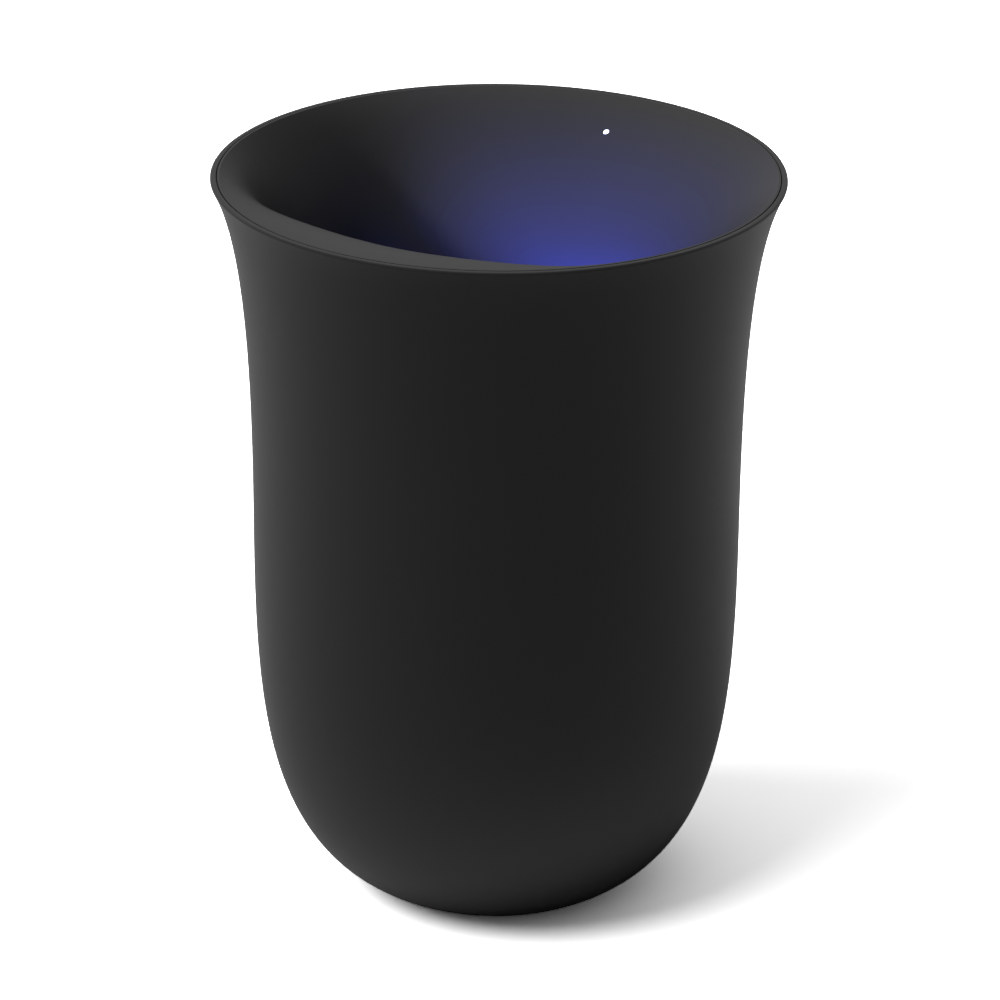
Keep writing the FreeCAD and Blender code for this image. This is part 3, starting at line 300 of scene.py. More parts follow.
@cache
def board_tracks_group() -> NodeTree:
    """Build the tracks and plated holes under the mask of a circuit board.

    Returns:
        Group with inputs Position, Mask and Track, and outputs Color, Metallic and Height.
    """
    group = new_tree("board_tracks", "ShaderNodeTree", {
        "Position": ("NodeSocketVector", None),
        "Mask": ("NodeSocketColor", (0.01, 0.12, 0.05, 1.0)),
        "Track": ("NodeSocketColor", (0.03, 0.22, 0.10, 1.0)),
    }, {"Color": "NodeSocketColor", "Metallic": "NodeSocketFloat", "Height": "NodeSocketFloat"})
    given = group.nodes["Group Input"].outputs
    hole_reach = 0.07
    plating = (0.80, 0.58, 0.24, 1.0)
    tracks = add_node(group, "ShaderNodeTexBrick", {
        "Vector": given["Position"],
        "Color1": given["Mask"],
        "Color2": given["Mask"],
        "Mortar": given["Track"],
        "Scale": 260.0,
        "Mortar Size": 0.035,
        "Mortar Smooth": 0.1,
        "Brick Width": 1.3,
        "Row Height": 0.45,
    }, offset=0.37)
    spots = add_node(group, "ShaderNodeTexVoronoi", {
        "Vector": given["Position"],
        "Scale": 190.0,
        "Randomness": 0.8,
    })
    plated = calc(group, "LESS_THAN", spots.outputs["Distance"], hole_reach)
    mixed = add_node(group, "ShaderNodeMix", {
        MIX_FACTOR: plated,
        MIX_FIRST: tracks.outputs["Color"],
        MIX_SECOND: plating,
    }, data_type="RGBA")
    fill(group, group.nodes["Group Output"], {
        "Color": mixed.outputs[MIX_RESULT],
        "Metallic": plated,
        "Height": calc(group, "ADD", tracks.outputs["Fac"], plated),
    })
    return group


# Finishes


@dataclass(frozen=True)
class Finish:
    """A named finish that is built as a material once."""

    name: str

    def plain(self) -> Values:
        """Return the shader's values that are the same all over."""
        raise NotImplementedError

    def pattern(self) -> Pattern:
        """Return the group that changes over the surface, its bump height and its values."""
        raise NotImplementedError

    def material(self) -> Material:
        """Give the finish as a material, which the first call builds.

        Returns:
            The material.
        """
        made = bpy.data.materials.get(self.name)
        if made is None:
            made = bpy.data.materials.new(self.name)
            made.use_nodes = True
            self.paint(made.node_tree)
        return made

    def paint(self, tree: NodeTree) -> None:
        """Lay the pattern on Object coordinates round the shader, with its height as bump.

        Args:
            tree: Node tree of the material.
        """
        shader = tree.nodes["Principled BSDF"]
        fill(tree, shader, self.plain())
        group, depth, values = self.pattern()
        place = add_node(tree, "ShaderNodeTexCoord").outputs["Object"]
        skin = add_node(tree, "ShaderNodeGroup", {"Position": place, **values}, node_tree=group).outputs
        bump = add_node(tree, "ShaderNodeBump", {
            "Strength": BUMP_STRENGTH,
            "Distance": depth * MM,
            "Height": skin["Height"],
        })
        fill(tree, shader, {"Normal": bump.outputs["Normal"]})
        for given, target in (("Color", "Base Color"), ("Roughness", "Roughness"), ("Metallic", "Metallic")):
            if given in skin:
                fill(tree, shader, {target: skin[given]})


@dataclass(frozen=True)
class MouldedFinish(Finish):
    """Grained plastic, rubber or ceramic, lit from inside where it has a glow."""

    tint: Color
    roughness: float = 0.5
    grain: float = 2500.0
    depth: float = 0.01
    mottle: float = 0.12
    specular: float = 0.5
    glow: Color = (0.0, 0.0, 0.0)
    glow_strength: float = 0.0

    def plain(self) -> Values:
        """Return the gloss and the glow."""
        return {
            "Specular IOR Level": self.specular,
            "Emission Color": (*self.glow, 1.0),
            "Emission Strength": self.glow_strength,
        }

    def pattern(self) -> Pattern:
        """Return the grain, its bump height and its values."""
        return fine_grain_group(), self.depth, {
            "Tint": (*self.tint, 1.0),
            "Grain Scale": self.grain,
            "Mottle": self.mottle,
            "Roughness Base": self.roughness,
        }


@dataclass(frozen=True)
class MetalFinish(Finish):
    """Bare or plated metal with the lines of its drawing or turning."""

    tint: Color
    roughness: float = 0.3
    stretch: Triple = (1.0, 1.0, 0.05)
    depth: float = 0.004

    def plain(self) -> Values:
        """Return the value that makes it metal."""
        return {"Metallic": 1.0}

    def pattern(self) -> Pattern:
        """Return the drawn lines, their bump height and their values."""
        return drawn_lines_group(), self.depth, {
            "Tint": (*self.tint, 1.0),
            "Stretch": self.stretch,
            "Roughness Base": self.roughness,
        }


@dataclass(frozen=True)
class BoardFinish(Finish):
    """Circuit board under its coloured mask."""

    mask: Color
    track: Color
    roughness: float = 0.35
    depth: float = 0.03

    def plain(self) -> Values:
        """Return the gloss of the mask."""
        return {"Roughness": self.roughness}

    def pattern(self) -> Pattern:
        """Return the tracks, their bump height and their colours."""
        return board_tracks_group(), self.depth, {"Mask": (*self.mask, 1.0), "Track": (*self.track, 1.0)}


@dataclass(frozen=True)
class ClearFinish(Finish):
    """Clear polished material, such as a quartz window."""

    tint: Color
    ior: float = 1.46
    roughness: float = 0.03
    roughness_spread: float = 0.02
    polish: float = 600.0
    mottle: float = 0.02
    depth: float = 0.002

    def plain(self) -> Values:
        """Return the values that let light through."""
        return {"IOR": self.ior, "Transmission Weight": 1.0}

    def pattern(self) -> Pattern:
        """Return the faint polish marks, their bump height and their values."""
        return fine_grain_group(), self.depth, {
            "Tint": (*self.tint, 1.0),
            "Grain Scale": self.polish,
            "Mottle": self.mottle,
            "Roughness Base": self.roughness,
            "Roughness Spread": self.roughness_spread,
        }


SHELL = MouldedFinish("soft_touch_shell", (0.0115, 0.0115, 0.0118))
LINER = MouldedFinish("moulded_liner", (0.0115, 0.0115, 0.0118), specular=0.35)
BUTTON = MouldedFinish("soft_touch_button", (0.014, 0.014, 0.0145), roughness=0.46)
COVER = MouldedFinish("cover_moulding", (0.020, 0.020, 0.021), roughness=0.55, grain=1800.0)
SILICONE = MouldedFinish("matte_silicone", (0.022, 0.022, 0.023), roughness=0.8, grain=3200.0, specular=0.3)
CHIP = MouldedFinish("chip_moulding", (0.022, 0.022, 0.024), roughness=0.6)
FERRITE = MouldedFinish("sintered_ferrite", (0.075, 0.075, 0.08), roughness=0.7, grain=1500.0, depth=0.02)
NYLON = MouldedFinish("ivory_nylon", (0.80, 0.74, 0.58))
CERAMIC = MouldedFinish("white_ceramic", (0.82, 0.81, 0.78), roughness=0.6, grain=1800.0)
CARRIER = MouldedFinish("carrier_moulding", (0.10, 0.10, 0.105), roughness=0.6)
PLUNGER = MouldedFinish("white_plunger", (0.78, 0.78, 0.76), roughness=0.45)
JACKET_BLACK = MouldedFinish("black_lead_jacket", (0.03, 0.03, 0.032), roughness=0.5, grain=2000.0)
JACKET_RED = MouldedFinish("red_lead_jacket", (0.38, 0.02, 0.02), roughness=0.5, grain=2000.0)
LAMP = MouldedFinish("lamp_chip", (0.9, 0.88, 0.78), roughness=0.35)
STATUS_DOT = MouldedFinish("lit_pipe", (0.9, 0.92, 0.95), roughness=0.3,
                           glow=Glow.STATUS.value, glow_strength=1.6)
LENS = MouldedFinish("lit_lens", (0.6, 0.58, 0.9), roughness=0.2,
                     glow=Glow.ULTRAVIOLET.value, glow_strength=2.5)
STEEL = MetalFinish("plated_steel", (0.56, 0.56, 0.57), roughness=0.32)
INLET = MetalFinish("drawn_inlet_steel", (0.66, 0.66, 0.68), roughness=0.26, stretch=(1.0, 0.05, 1.0))
CAN = MetalFinish("drawn_can", (0.74, 0.74, 0.76))
COPPER = MetalFinish("enamelled_copper", (0.70, 0.30, 0.14), stretch=(1.0, 1.0, 1.0))
GOLD = MetalFinish("gilt_contact", (0.86, 0.62, 0.26), roughness=0.22, stretch=(1.0, 0.05, 1.0))
MASK_DARK = BoardFinish("dark_board_mask", (0.012, 0.015, 0.014), (0.026, 0.032, 0.030))
MASK_WHITE = BoardFinish("white_board_mask", (0.78, 0.78, 0.76), (0.70, 0.70, 0.66))
QUARTZ = ClearFinish("polished_quartz", (0.92, 0.93, 1.0))


# Mesh tools


def bezier(poles: list[Flat], share: float) -> Flat:
    """Return the point of a cubic curve at a share of its run.

    Args:
        poles: Four poles of the curve.
        share: Share of the run, from 0 to 1.

    Returns:
        Point of the curve.
    """
    rest = 1.0 - share
    weights = (rest ** 3, 3 * rest * rest * share, 3 * rest * share * share, share ** 3)
    return tuple(sum(weight * pole[axis] for weight, pole in zip(weights, poles)) for axis in (0, 1))


def rounded_outline(half_width: float, half_height: float, corner: float, steps: int = CORNER_STEPS,
                    side_steps: int = 0) -> list[Flat]:
    """Return the points of a rounded rectangle round the origin, or of a circle where the corners meet.

    Args:
        half_width: Half the width.
        half_height: Half the height.
        corner: Radius of the corners.
        steps: Points in each corner.
        side_steps: Parts that each straight side is split into; 0 leaves it whole.

    Returns:
        Points in order, the same count for any size.
    """
    outline = []
    centres = [Vector((side * (half_width - corner), rise * (half_height - corner)))
               for side, rise in ((1, 1), (-1, 1), (-1, -1), (1, -1))]
    for quarter, centre in enumerate(centres):
        turns = [math.pi / 2 * (quarter + (step + 0.5) / steps) for step in range(steps)]
        spots = [(centre, turn) for turn in turns]
        if side_steps:
            after = centres[(quarter + 1) % 4]
            spots += [(centre.lerp(after, step / side_steps), math.pi / 2 * (quarter + 1))
                      for step in range(side_steps + 1)]
        outline += [(at.x + corner * math.cos(turn), at.y + corner * math.sin(turn)) for at, turn in spots]
    return outline


def ring_at(outline: list[Flat], depth: float, facing: Facing, middle: Vector = Vector()) -> Ring:
    """Set a flat outline in space.

    Args:
        outline: Points of the outline.
        depth: Place along the facing direction.
        facing: Side that the outline looks to.
        middle: Point that the outline is centred on and the depth starts from.

    Returns:
        Ring of points in space.
    """
    if facing is Facing.UP:
        return [middle + Vector((u, v, depth)) for u, v in outline]
    return [middle + Vector((u, depth, v)) for u, v in outline]


@dataclass(frozen=True)
class Section:
    """Rounded section that is stacked in rings, each drawn in by its inset, which an even corner ignores."""

    half_width: float
    half_height: float
    corner: float
    facing: Facing
    steps: int = CORNER_STEPS
    even_corner: bool = False

    def rings(self, levels: list[Flat], middle: Vector = Vector()) -> list[Ring]:
        """Stack the section.

        Args:
            levels: Inset and depth of each ring.
            middle: Point that the rings are centred on and the depth starts from.

        Returns:
            Rings in order.
        """
        rings = []
        for inset, depth in levels:
            corner = self.corner if self.even_corner else self.corner - inset
            outline = rounded_outline(self.half_width - inset, self.half_height - inset, corner, self.steps)
            rings.append(ring_at(outline, depth, self.facing, middle))
        return rings


def tidied(mesh: Mesh, crease: float = CREASE) -> Mesh:
    """Weld a mesh, turn its faces outwards and smooth it up to a crease angle.

    Args:
        mesh: Mesh of closed shapes, whose faces agree on their side.
        crease: Sharpest angle that is smoothed.

    Returns:
        The same mesh.
    """
    shape = bmesh.new()
    shape.from_mesh(mesh)
    bmesh.ops.remove_doubles(shape, verts=shape.verts, dist=WELD)
    if shape.calc_volume(signed=True) < 0:
        bmesh.ops.reverse_faces(shape, faces=shape.faces)
    shape.to_mesh(mesh)
    shape.free()
    mesh.shade_smooth()
    mesh.set_sharp_from_angle(angle=math.radians(crease))
    return mesh


def lofted(name: str, rings: list[Ring], finish: Finish | None = None, looped: bool = False) -> Mesh:
    """Skin a row of rings of equal count.

    Args:
        name: Name of the mesh.
        rings: Rings in order, in millimetres.
        finish: Finish of the mesh.
        looped: Whether the last ring joins the first; otherwise both end rings are closed.

    Returns:
        Closed mesh in metres.
    """
    count = len(rings[0])
    points = [point * MM for ring in rings for point in ring]
    faces = []
    for row in range(len(rings) if looped else len(rings) - 1):
        low = row * count
        high = (row + 1) % len(rings) * count
        for step in range(count):
            after = (step + 1) % count
            faces.append((low + step, low + after, high + after, high + step))
    if not looped:
        faces.append(tuple(reversed(range(count))))
        faces.append(tuple(range(len(points) - count, len(points))))
    mesh = bpy.data.meshes.new(name)
    mesh.from_pydata(points, [], faces)
    if finish:
        mesh.materials.append(finish.material())
    return tidied(mesh)


def joined(name: str, meshes: list[Mesh]) -> Mesh:
    """Put several meshes of one finish into one mesh.

    Args:
        name: Name of the new mesh.
        meshes: Meshes to put together.

    Returns:
        The new mesh.
    """
    shape = bmesh.new()
    for mesh in meshes:
        shape.from_mesh(mesh)
    whole = bpy.data.meshes.new(name)
    shape.to_mesh(whole)
    shape.free()
    return tidied(whole)


def middle_of(node: str) -> Vector:
    """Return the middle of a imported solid's box, in millimetres."""
    low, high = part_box(node)
    return (low + high) / 2 / MM


def span_of(node: str) -> tuple[Vector, Vector]:
    """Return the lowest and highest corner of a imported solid, in millimetres."""
    low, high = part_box(node)
    return low / MM, high / MM


def middle_and_half(node: str) -> tuple[Vector, Vector]:
    """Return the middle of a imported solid's box and half its size, in millimetres."""
    low, high = span_of(node)
    return (low + high) / 2, (high - low) / 2


def add_object(name: str, data: bpy.types.ID) -> Piece:
    """Add an object to the scene.

    Args:
        name: Name of the object.
        data: Mesh, curve, light or camera of the object.

    Returns:
        The new object.
    """
    thing = bpy.data.objects.new(name, data)
    bpy.context.scene.collection.objects.link(thing)
    return thing


def show(name: str, mesh: Mesh, slot: Slot, *nodes: str, body: Body = Body.HOUSING) -> Piece:
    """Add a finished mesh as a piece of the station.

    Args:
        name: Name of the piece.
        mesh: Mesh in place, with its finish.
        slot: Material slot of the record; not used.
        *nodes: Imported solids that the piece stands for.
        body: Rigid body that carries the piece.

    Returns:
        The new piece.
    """
    piece = add_object(name, mesh)
    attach(piece, body.value)
    if nodes:
        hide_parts(*nodes)
    log.info("made %s, %d faces, for %s", name, len(mesh.polygons), ", ".join(nodes) or "detail")
    return piece


def dress(node: str, finish: Finish) -> None:
    """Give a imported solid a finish.

    Args:
        node: Name of the solid.
        finish: Finish that covers all of it.
    """
    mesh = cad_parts[node].data
    mesh.materials.clear()
    mesh.materials.append(finish.material())
    log.info("dressed %s with %s", node, finish.name)


# Geometry trees


# Inputs of the trees that set their result in place
PLACE_INPUTS = {
    "Centre": ("NodeSocketVector", None),
    "Turn": ("NodeSocketVector", None),
}


def grown(name: str, tree: NodeTree, values: dict[str, object], base: Mesh | None = None) -> Mesh:
    """Run a geometry tree and keep its result as a plain mesh.

    Args:
        name: Name of the mesh.
        tree: Geometry tree.
        values: Values of the tree's inputs by name; a mesh or curve goes in as an object.
        base: Mesh that goes into the tree.

    Returns:
        The evaluated mesh.
    """
    holder = add_object(name + "_holder", base or bpy.data.meshes.new(name + "_start"))
    helpers = {label: add_object(name + "_helper", value) for label, value in values.items()
               if isinstance(value, (bpy.types.Mesh, bpy.types.Curve))}
    modifier = holder.modifiers.new("shape", "NODES")
    modifier.node_group = tree
    for socket in tree.interface.items_tree:
        if socket.in_out == "INPUT" and socket.name in values:
            modifier[socket.identifier] = helpers.get(socket.name, values[socket.name])
    graph = bpy.context.evaluated_depsgraph_get()
    mesh = bpy.data.meshes.new_from_object(holder.evaluated_get(graph), depsgraph=graph)
    holder.modifiers.remove(modifier)
    for thing in (holder, *helpers.values()):
        bpy.data.objects.remove(thing)
    mesh.name = name
    return mesh


def open_tree(name: str, inputs: dict[str, tuple[str, object]]) -> NodeTree:
    """Start a geometry tree that has the given inputs and a Finish input."""
    sockets = {"Geometry": ("NodeSocketGeometry", None), **inputs, "Finish": ("NodeSocketMaterial", None)}
    return new_tree(name, "GeometryNodeTree", sockets, {"Geometry": "NodeSocketGeometry"})


def shape_of(tree: NodeTree, holder: Socket) -> Socket:
    """Add the shape of an object to a tree and return its socket."""
    return add_node(tree, "GeometryNodeObjectInfo", {"Object": holder}).outputs["Geometry"]


def on_circle(tree: NodeTree, radius: Socket, turn: Socket, level: object = 0.0) -> Socket:
    """Add a point on a circle round the upright axis to a tree.

    Args:
        tree: Geometry tree.
        radius: Radius of the circle.
        turn: Angle of the point.
        level: Height of the point.

    Returns:
        Socket of the point.
    """
    spot = add_node(tree, "ShaderNodeCombineXYZ", {
        "X": calc(tree, "MULTIPLY", radius, calc(tree, "COSINE", turn)),
        "Y": calc(tree, "MULTIPLY", radius, calc(tree, "SINE", turn)),
        "Z": level,
    })
    return spot.outputs["Vector"]


def put_in_place(tree: NodeTree, shape: Socket) -> Socket:
    """Turn and move a shape by the tree's inputs for its place.

    Args:
        tree: Geometry tree with the inputs Centre and Turn.
        shape: Socket of the shape.

    Returns:
        Socket of the shape in its place.
    """
    given = tree.nodes["Group Input"].outputs
    tilt = add_node(tree, "FunctionNodeEulerToRotation", {"Euler": given["Turn"]})
    placed = add_node(tree, "GeometryNodeTransform", {
        "Geometry": shape,
        "Translation": given["Centre"],
        "Rotation": tilt.outputs["Rotation"],
    })
    return placed.outputs["Geometry"]


def close_tree(tree: NodeTree, shape: Socket, finish: str = "Finish") -> Socket:
    """Realize a shape and give it one of the tree's finishes.

    Args:
        tree: Geometry tree.
        shape: Socket of the shape.
        finish: Name of the input that holds the finish.

    Returns:
        Socket of the result, which is also linked to the tree's output.
    """
    real = add_node(tree, "GeometryNodeRealizeInstances", {"Geometry": shape})
    coat = add_node(tree, "GeometryNodeSetMaterial", {
        "Geometry": real.outputs["Geometry"],
        "Material": tree.nodes["Group Input"].outputs[finish],
    })
    fill(tree, tree.nodes["Group Output"], {"Geometry": coat.outputs["Geometry"]})
    return coat.outputs["Geometry"]


@cache
def turned_tree() -> NodeTree:
    """Build the tree that turns a profile round the upright axis.

    Returns:
        Tree with inputs Profile, Segments and Finish.
    """
    tree = open_tree("turned_form", {
        "Profile": ("NodeSocketObject", None),
        "Segments": ("NodeSocketInt", 128),
    })
    given = tree.nodes["Group Input"].outputs
    profile = shape_of(tree, given["Profile"])
    size = add_node(tree, "GeometryNodeAttributeDomainSize", {"Geometry": profile}, component="CURVE")
    rows = size.outputs["Point Count"]
    grid = add_node(tree, "GeometryNodeMeshGrid", {
        "Vertices X": calc(tree, "ADD", given["Segments"], 1),
        "Vertices Y": rows,
    })
    index = add_node(tree, "GeometryNodeInputIndex").outputs["Index"]
    column = calc(tree, "FLOOR", calc(tree, "DIVIDE", index, rows))
    point = add_node(tree, "GeometryNodeSampleIndex", {
        "Geometry": profile,
        "Value": add_node(tree, "GeometryNodeInputPosition").outputs["Position"],
        "Index": calc(tree, "SUBTRACT", index, calc(tree, "MULTIPLY", column, rows)),
    }, data_type="FLOAT_VECTOR", domain="POINT")
    part = add_node(tree, "ShaderNodeSeparateXYZ", {"Vector": point.outputs["Value"]}).outputs
    turn = calc(tree, "MULTIPLY", column, calc(tree, "DIVIDE", math.tau, given["Segments"]))
    placed = add_node(tree, "GeometryNodeSetPosition", {
        "Geometry": grid.outputs["Mesh"],
        "Position": on_circle(tree, part["X"], turn, part["Z"]),
    })
    weld = add_node(tree, "GeometryNodeMergeByDistance", {
        "Geometry": placed.outputs["Geometry"],
        "Distance": WELD,
    })
    close_tree(tree, weld.outputs["Geometry"])
    return tree


@cache
def cut_tree() -> NodeTree:
    """Build the tree that cuts openings into a mesh.

    Returns:
        Tree with inputs Cutter and Finish.
    """
    tree = open_tree("cut_openings", {"Cutter": ("NodeSocketObject", None)})
    given = tree.nodes["Group Input"].outputs
    opened = add_node(tree, "GeometryNodeMeshBoolean", {
        "Mesh 1": given["Geometry"],
        "Mesh 2": shape_of(tree, given["Cutter"]),
    }, operation="DIFFERENCE", solver="MANIFOLD")
    close_tree(tree, opened.outputs["Mesh"])
    return tree


@cache
def copies_tree() -> NodeTree:
    """Build the tree that sets copies of a piece in a ring, in a row, or both.

    Returns:
        Tree with inputs Piece, Count, Circle Radius, Start Angle, Step, Centre, Turn and Finish.
    """
    tree = open_tree("set_of_copies", {
        "Piece": ("NodeSocketObject", None),
        "Count": ("NodeSocketInt", 1),
        "Circle Radius": ("NodeSocketFloat", 0.0),
        "Start Angle": ("NodeSocketFloat", 0.0),
        "Step": ("NodeSocketVector", None),
        **PLACE_INPUTS,
    })
    given = tree.nodes["Group Input"].outputs
    index = add_node(tree, "GeometryNodeInputIndex").outputs["Index"]
    share = calc(tree, "DIVIDE", index, given["Count"])
    turn = calc(tree, "MULTIPLY_ADD", share, math.tau, given["Start Angle"])
    spot = on_circle(tree, given["Circle Radius"], turn)
    half = calc(tree, "MULTIPLY", calc(tree, "SUBTRACT", given["Count"], 1.0), 0.5)
    along = calc_vector(tree, "SCALE", given["Step"], scale=calc(tree, "SUBTRACT", index, half))
    spots = add_node(tree, "GeometryNodePoints", {
        "Count": given["Count"],
        "Position": calc_vector(tree, "ADD", spot, along),
    })
    around = add_node(tree, "ShaderNodeCombineXYZ", {"Z": turn})
    spin = add_node(tree, "FunctionNodeEulerToRotation", {"Euler": around.outputs["Vector"]})
    copies = add_node(tree, "GeometryNodeInstanceOnPoints", {
        "Points": spots.outputs["Points"],
        "Instance": shape_of(tree, given["Piece"]),
        "Rotation": spin.outputs["Rotation"],
    })
    close_tree(tree, put_in_place(tree, copies.outputs["Instances"]))
    return tree


def strand_profile(tree: NodeTree, radius: Socket, offset: Socket, count: Socket) -> Socket:
    """Add the section of a bundle of round strands to a tree.

    Args:
        tree: Geometry tree.
        radius: Radius of a strand.
        offset: Distance of a strand's middle from the middle of the bundle.
        count: Number of strands.

    Returns:
        Socket of the section's curves.
    """
    section = {"Resolution": STRAND_SIDES, "Radius": radius}
    circle = add_node(tree, "GeometryNodeCurvePrimitiveCircle", section)
    index = add_node(tree, "GeometryNodeInputIndex").outputs["Index"]
    turn = calc(tree, "MULTIPLY", calc(tree, "DIVIDE", index, count), math.tau)
    spots = add_node(tree, "GeometryNodePoints", {"Count": count, "Position": on_circle(tree, offset, turn)})
    strands = add_node(tree, "GeometryNodeInstanceOnPoints", {
        "Points": spots.outputs["Points"],
        "Instance": circle.outputs["Curve"],
    })
    real = add_node(tree, "GeometryNodeRealizeInstances", {"Geometry": strands.outputs["Instances"]})
    return real.outputs["Geometry"]


def twisted_bundle(tree: NodeTree, path: Socket, profile: Socket, lay: Socket) -> Socket:
    """Sweep a section along a path while it turns.

    Args:
        tree: Geometry tree.
        path: Socket of the path's curve.
        profile: Socket of the section's curves.
        lay: Length of one whole turn.

    Returns:
        Socket of the swept mesh.
    """
    run = add_node(tree, "GeometryNodeSplineParameter").outputs["Length"]
    tilt = add_node(tree, "GeometryNodeSetCurveTilt", {
        "Curve": path,
        "Tilt": calc(tree, "MULTIPLY", calc(tree, "DIVIDE", run, lay), math.tau),
    })
    swept = add_node(tree, "GeometryNodeCurveToMesh", {
        "Curve": tilt.outputs["Curve"],
        "Profile Curve": profile,
        "Fill Caps": True,
    })
    return swept.outputs["Mesh"]


@cache
def coil_tree() -> NodeTree:
    """Build the tree that winds a flat spiral of twisted strands.

    Returns:
        Tree with inputs Turns, Inner Radius, Outer Radius, Strands, Strand Radius, Strand Offset, Lay,
        Centre, Turn and Finish.
    """
    tree = open_tree("wound_coil", {
        "Turns": ("NodeSocketFloat", 9.0),
        "Inner Radius": ("NodeSocketFloat", 0.01),
        "Outer Radius": ("NodeSocketFloat", 0.02),
        "Strands": ("NodeSocketInt", 4),
        "Strand Radius": ("NodeSocketFloat", 0.0003),
        "Strand Offset": ("NodeSocketFloat", 0.0004),
        "Lay": ("NodeSocketFloat", 0.012),
        **PLACE_INPUTS,
    })
    given = tree.nodes["Group Input"].outputs
    spiral = add_node(tree, "GeometryNodeCurveSpiral", {
        "Resolution": STEPS_PER_TURN,
        "Rotations": given["Turns"],
        "Start Radius": given["Inner Radius"],
        "End Radius": given["Outer Radius"],
        "Height": 0.0,
    })
    profile = strand_profile(tree, given["Strand Radius"], given["Strand Offset"], given["Strands"])
    wound = twisted_bundle(tree, spiral.outputs["Curve"], profile, given["Lay"])
    close_tree(tree, put_in_place(tree, wound))
    return tree


@cache
def pair_tree() -> NodeTree:
    """Build the tree that twists two jacketed wires along a route.

    Returns:
        Tree with inputs Route, Wire Radius, Lay, Second Finish and Finish.
    """
    tree = open_tree("twisted_pair", {
        "Route": ("NodeSocketObject", None),
        "Wire Radius": ("NodeSocketFloat", 0.0005),
        "Lay": ("NodeSocketFloat", 0.008),
        "Second Finish": ("NodeSocketMaterial", None),
    })
    given = tree.nodes["Group Input"].outputs
    even = add_node(tree, "GeometryNodeResampleCurve", {
        "Curve": shape_of(tree, given["Route"]),
        "Length": calc(tree, "DIVIDE", given["Lay"], STEPS_PER_LAY),
    }, mode="LENGTH")
    radius = given["Wire Radius"]
    wires = []
    for side, finish in ((1.0, "Finish"), (-1.0, "Second Finish")):
        section = {"Resolution": WIRE_SIDES, "Radius": radius}
        circle = add_node(tree, "GeometryNodeCurvePrimitiveCircle", section)
        aside = add_node(tree, "ShaderNodeCombineXYZ", {"X": calc(tree, "MULTIPLY", radius, side)})
        moved = add_node(tree, "GeometryNodeTransform", {
            "Geometry": circle.outputs["Curve"],
            "Translation": aside.outputs["Vector"],
        })
        wire = twisted_bundle(tree, even.outputs["Curve"], moved.outputs["Geometry"], given["Lay"])
        wires.append(close_tree(tree, wire, finish))
    both = add_node(tree, "GeometryNodeJoinGeometry")
    for wire in wires:
        fill(tree, both, {"Geometry": wire})
    fill(tree, tree.nodes["Group Output"], {"Geometry": both.outputs["Geometry"]})
    return tree


@dataclass
class Profile:
    """Outline of a turned piece, as radius and height, with some corners rounded."""

    points: list[Flat] = field(default_factory=list)
    rounds: dict[int, float] = field(default_factory=dict)
    bend_steps: int = 5

    def corner(self, radius: float, height: float, rounding: float = 0.0) -> "Profile":
        """Add a corner.

        Args:
            radius: Distance from the axis.
            height: Height.
            rounding: Radius of the rounding.

        Returns:
            The profile itself.
        """
        if rounding:
            self.rounds[len(self.points)] = rounding
        self.points.append((radius, height))
        return self

    def curve(self, poles: list[Flat], steps: int) -> "Profile":
        """Add the inner points of a cubic curve, without its two ends."""
        self.points += [bezier(poles, step / steps) for step in range(1, steps)]
        return self

    def outline(self) -> list[Flat]:
        """Round the corners.

        Returns:
            Points of the whole outline.
        """
        total = len(self.points)
        outline = []
        for number, point in enumerate(self.points):
            radius = self.rounds.get(number)
            if not radius:
                outline.append(point)
                continue
            here = Vector(point)
            before = (Vector(self.points[number - 1]) - here).normalized()
            after = (Vector(self.points[(number + 1) % total]) - here).normalized()
            half = before.angle(after) / 2
            reach = radius / math.tan(half)
            for step in range(self.bend_steps + 1):
                share = step / self.bend_steps
                weights = ((1 - share) ** 2, 2 * share * (1 - share) * math.sin(half), share ** 2)
                pull = (before * weights[0] + after * weights[2]) * reach / sum(weights)
                outline.append((here.x + pull.x, here.y + pull.y))
        return outline

    def turned(self, name: str, finish: Finish, segments: int, closed: bool = True) -> Mesh:
        """Turn the outline round the upright axis.

        Args:
            name: Name of the mesh.
            finish: Finish of the mesh.
            segments: Steps round the axis.
            closed: Whether the last point joins the first; otherwise both lie on the axis.

        Returns:
            Closed mesh.
        """
        outline = self.outline()
        if closed:
            outline.append(outline[0])
        data = bpy.data.curves.new(name, "CURVE")
        data.dimensions = "3D"
        spline = data.splines.new("POLY")
        spline.points.add(len(outline) - 1)
        for point, (radius, height) in zip(spline.points, outline):
            point.co = (radius * MM, 0.0, height * MM, 1.0)
        values = {"Profile": data, "Segments": segments, "Finish": finish.material()}
        return tidied(grown(name, turned_tree(), values))


def copied(name: str, source: Mesh, finish: Finish, count: int, centre: Vector, step: Vector = Vector(),
           circle: float = 0.0, start: float = 0.0, turn: float = 0.0) -> Mesh:
    """Set copies of a mesh in a ring or a row.

    Args:
        name: Name of the new mesh.
        source: Mesh to copy, round the origin.
        finish: Finish of the copies.
        count: Number of copies.
        centre: Middle of the ring or row.
        step: Way from one copy of a row to the next.
        circle: Radius of the ring.
        start: Angle of the first copy of a ring.
        turn: Turn of the whole set about the X axis.

    Returns:
        One mesh of all copies.
    """
    return grown(name, copies_tree(), {
        "Piece": source,
        "Count": count,
        "Circle Radius": circle * MM,
        "Start Angle": math.radians(start),
        "Step": step * MM,
        "Centre": centre * MM,
        "Turn": (math.radians(turn), 0.0, 0.0),
        "Finish": finish.material(),
    })


# Outer shell


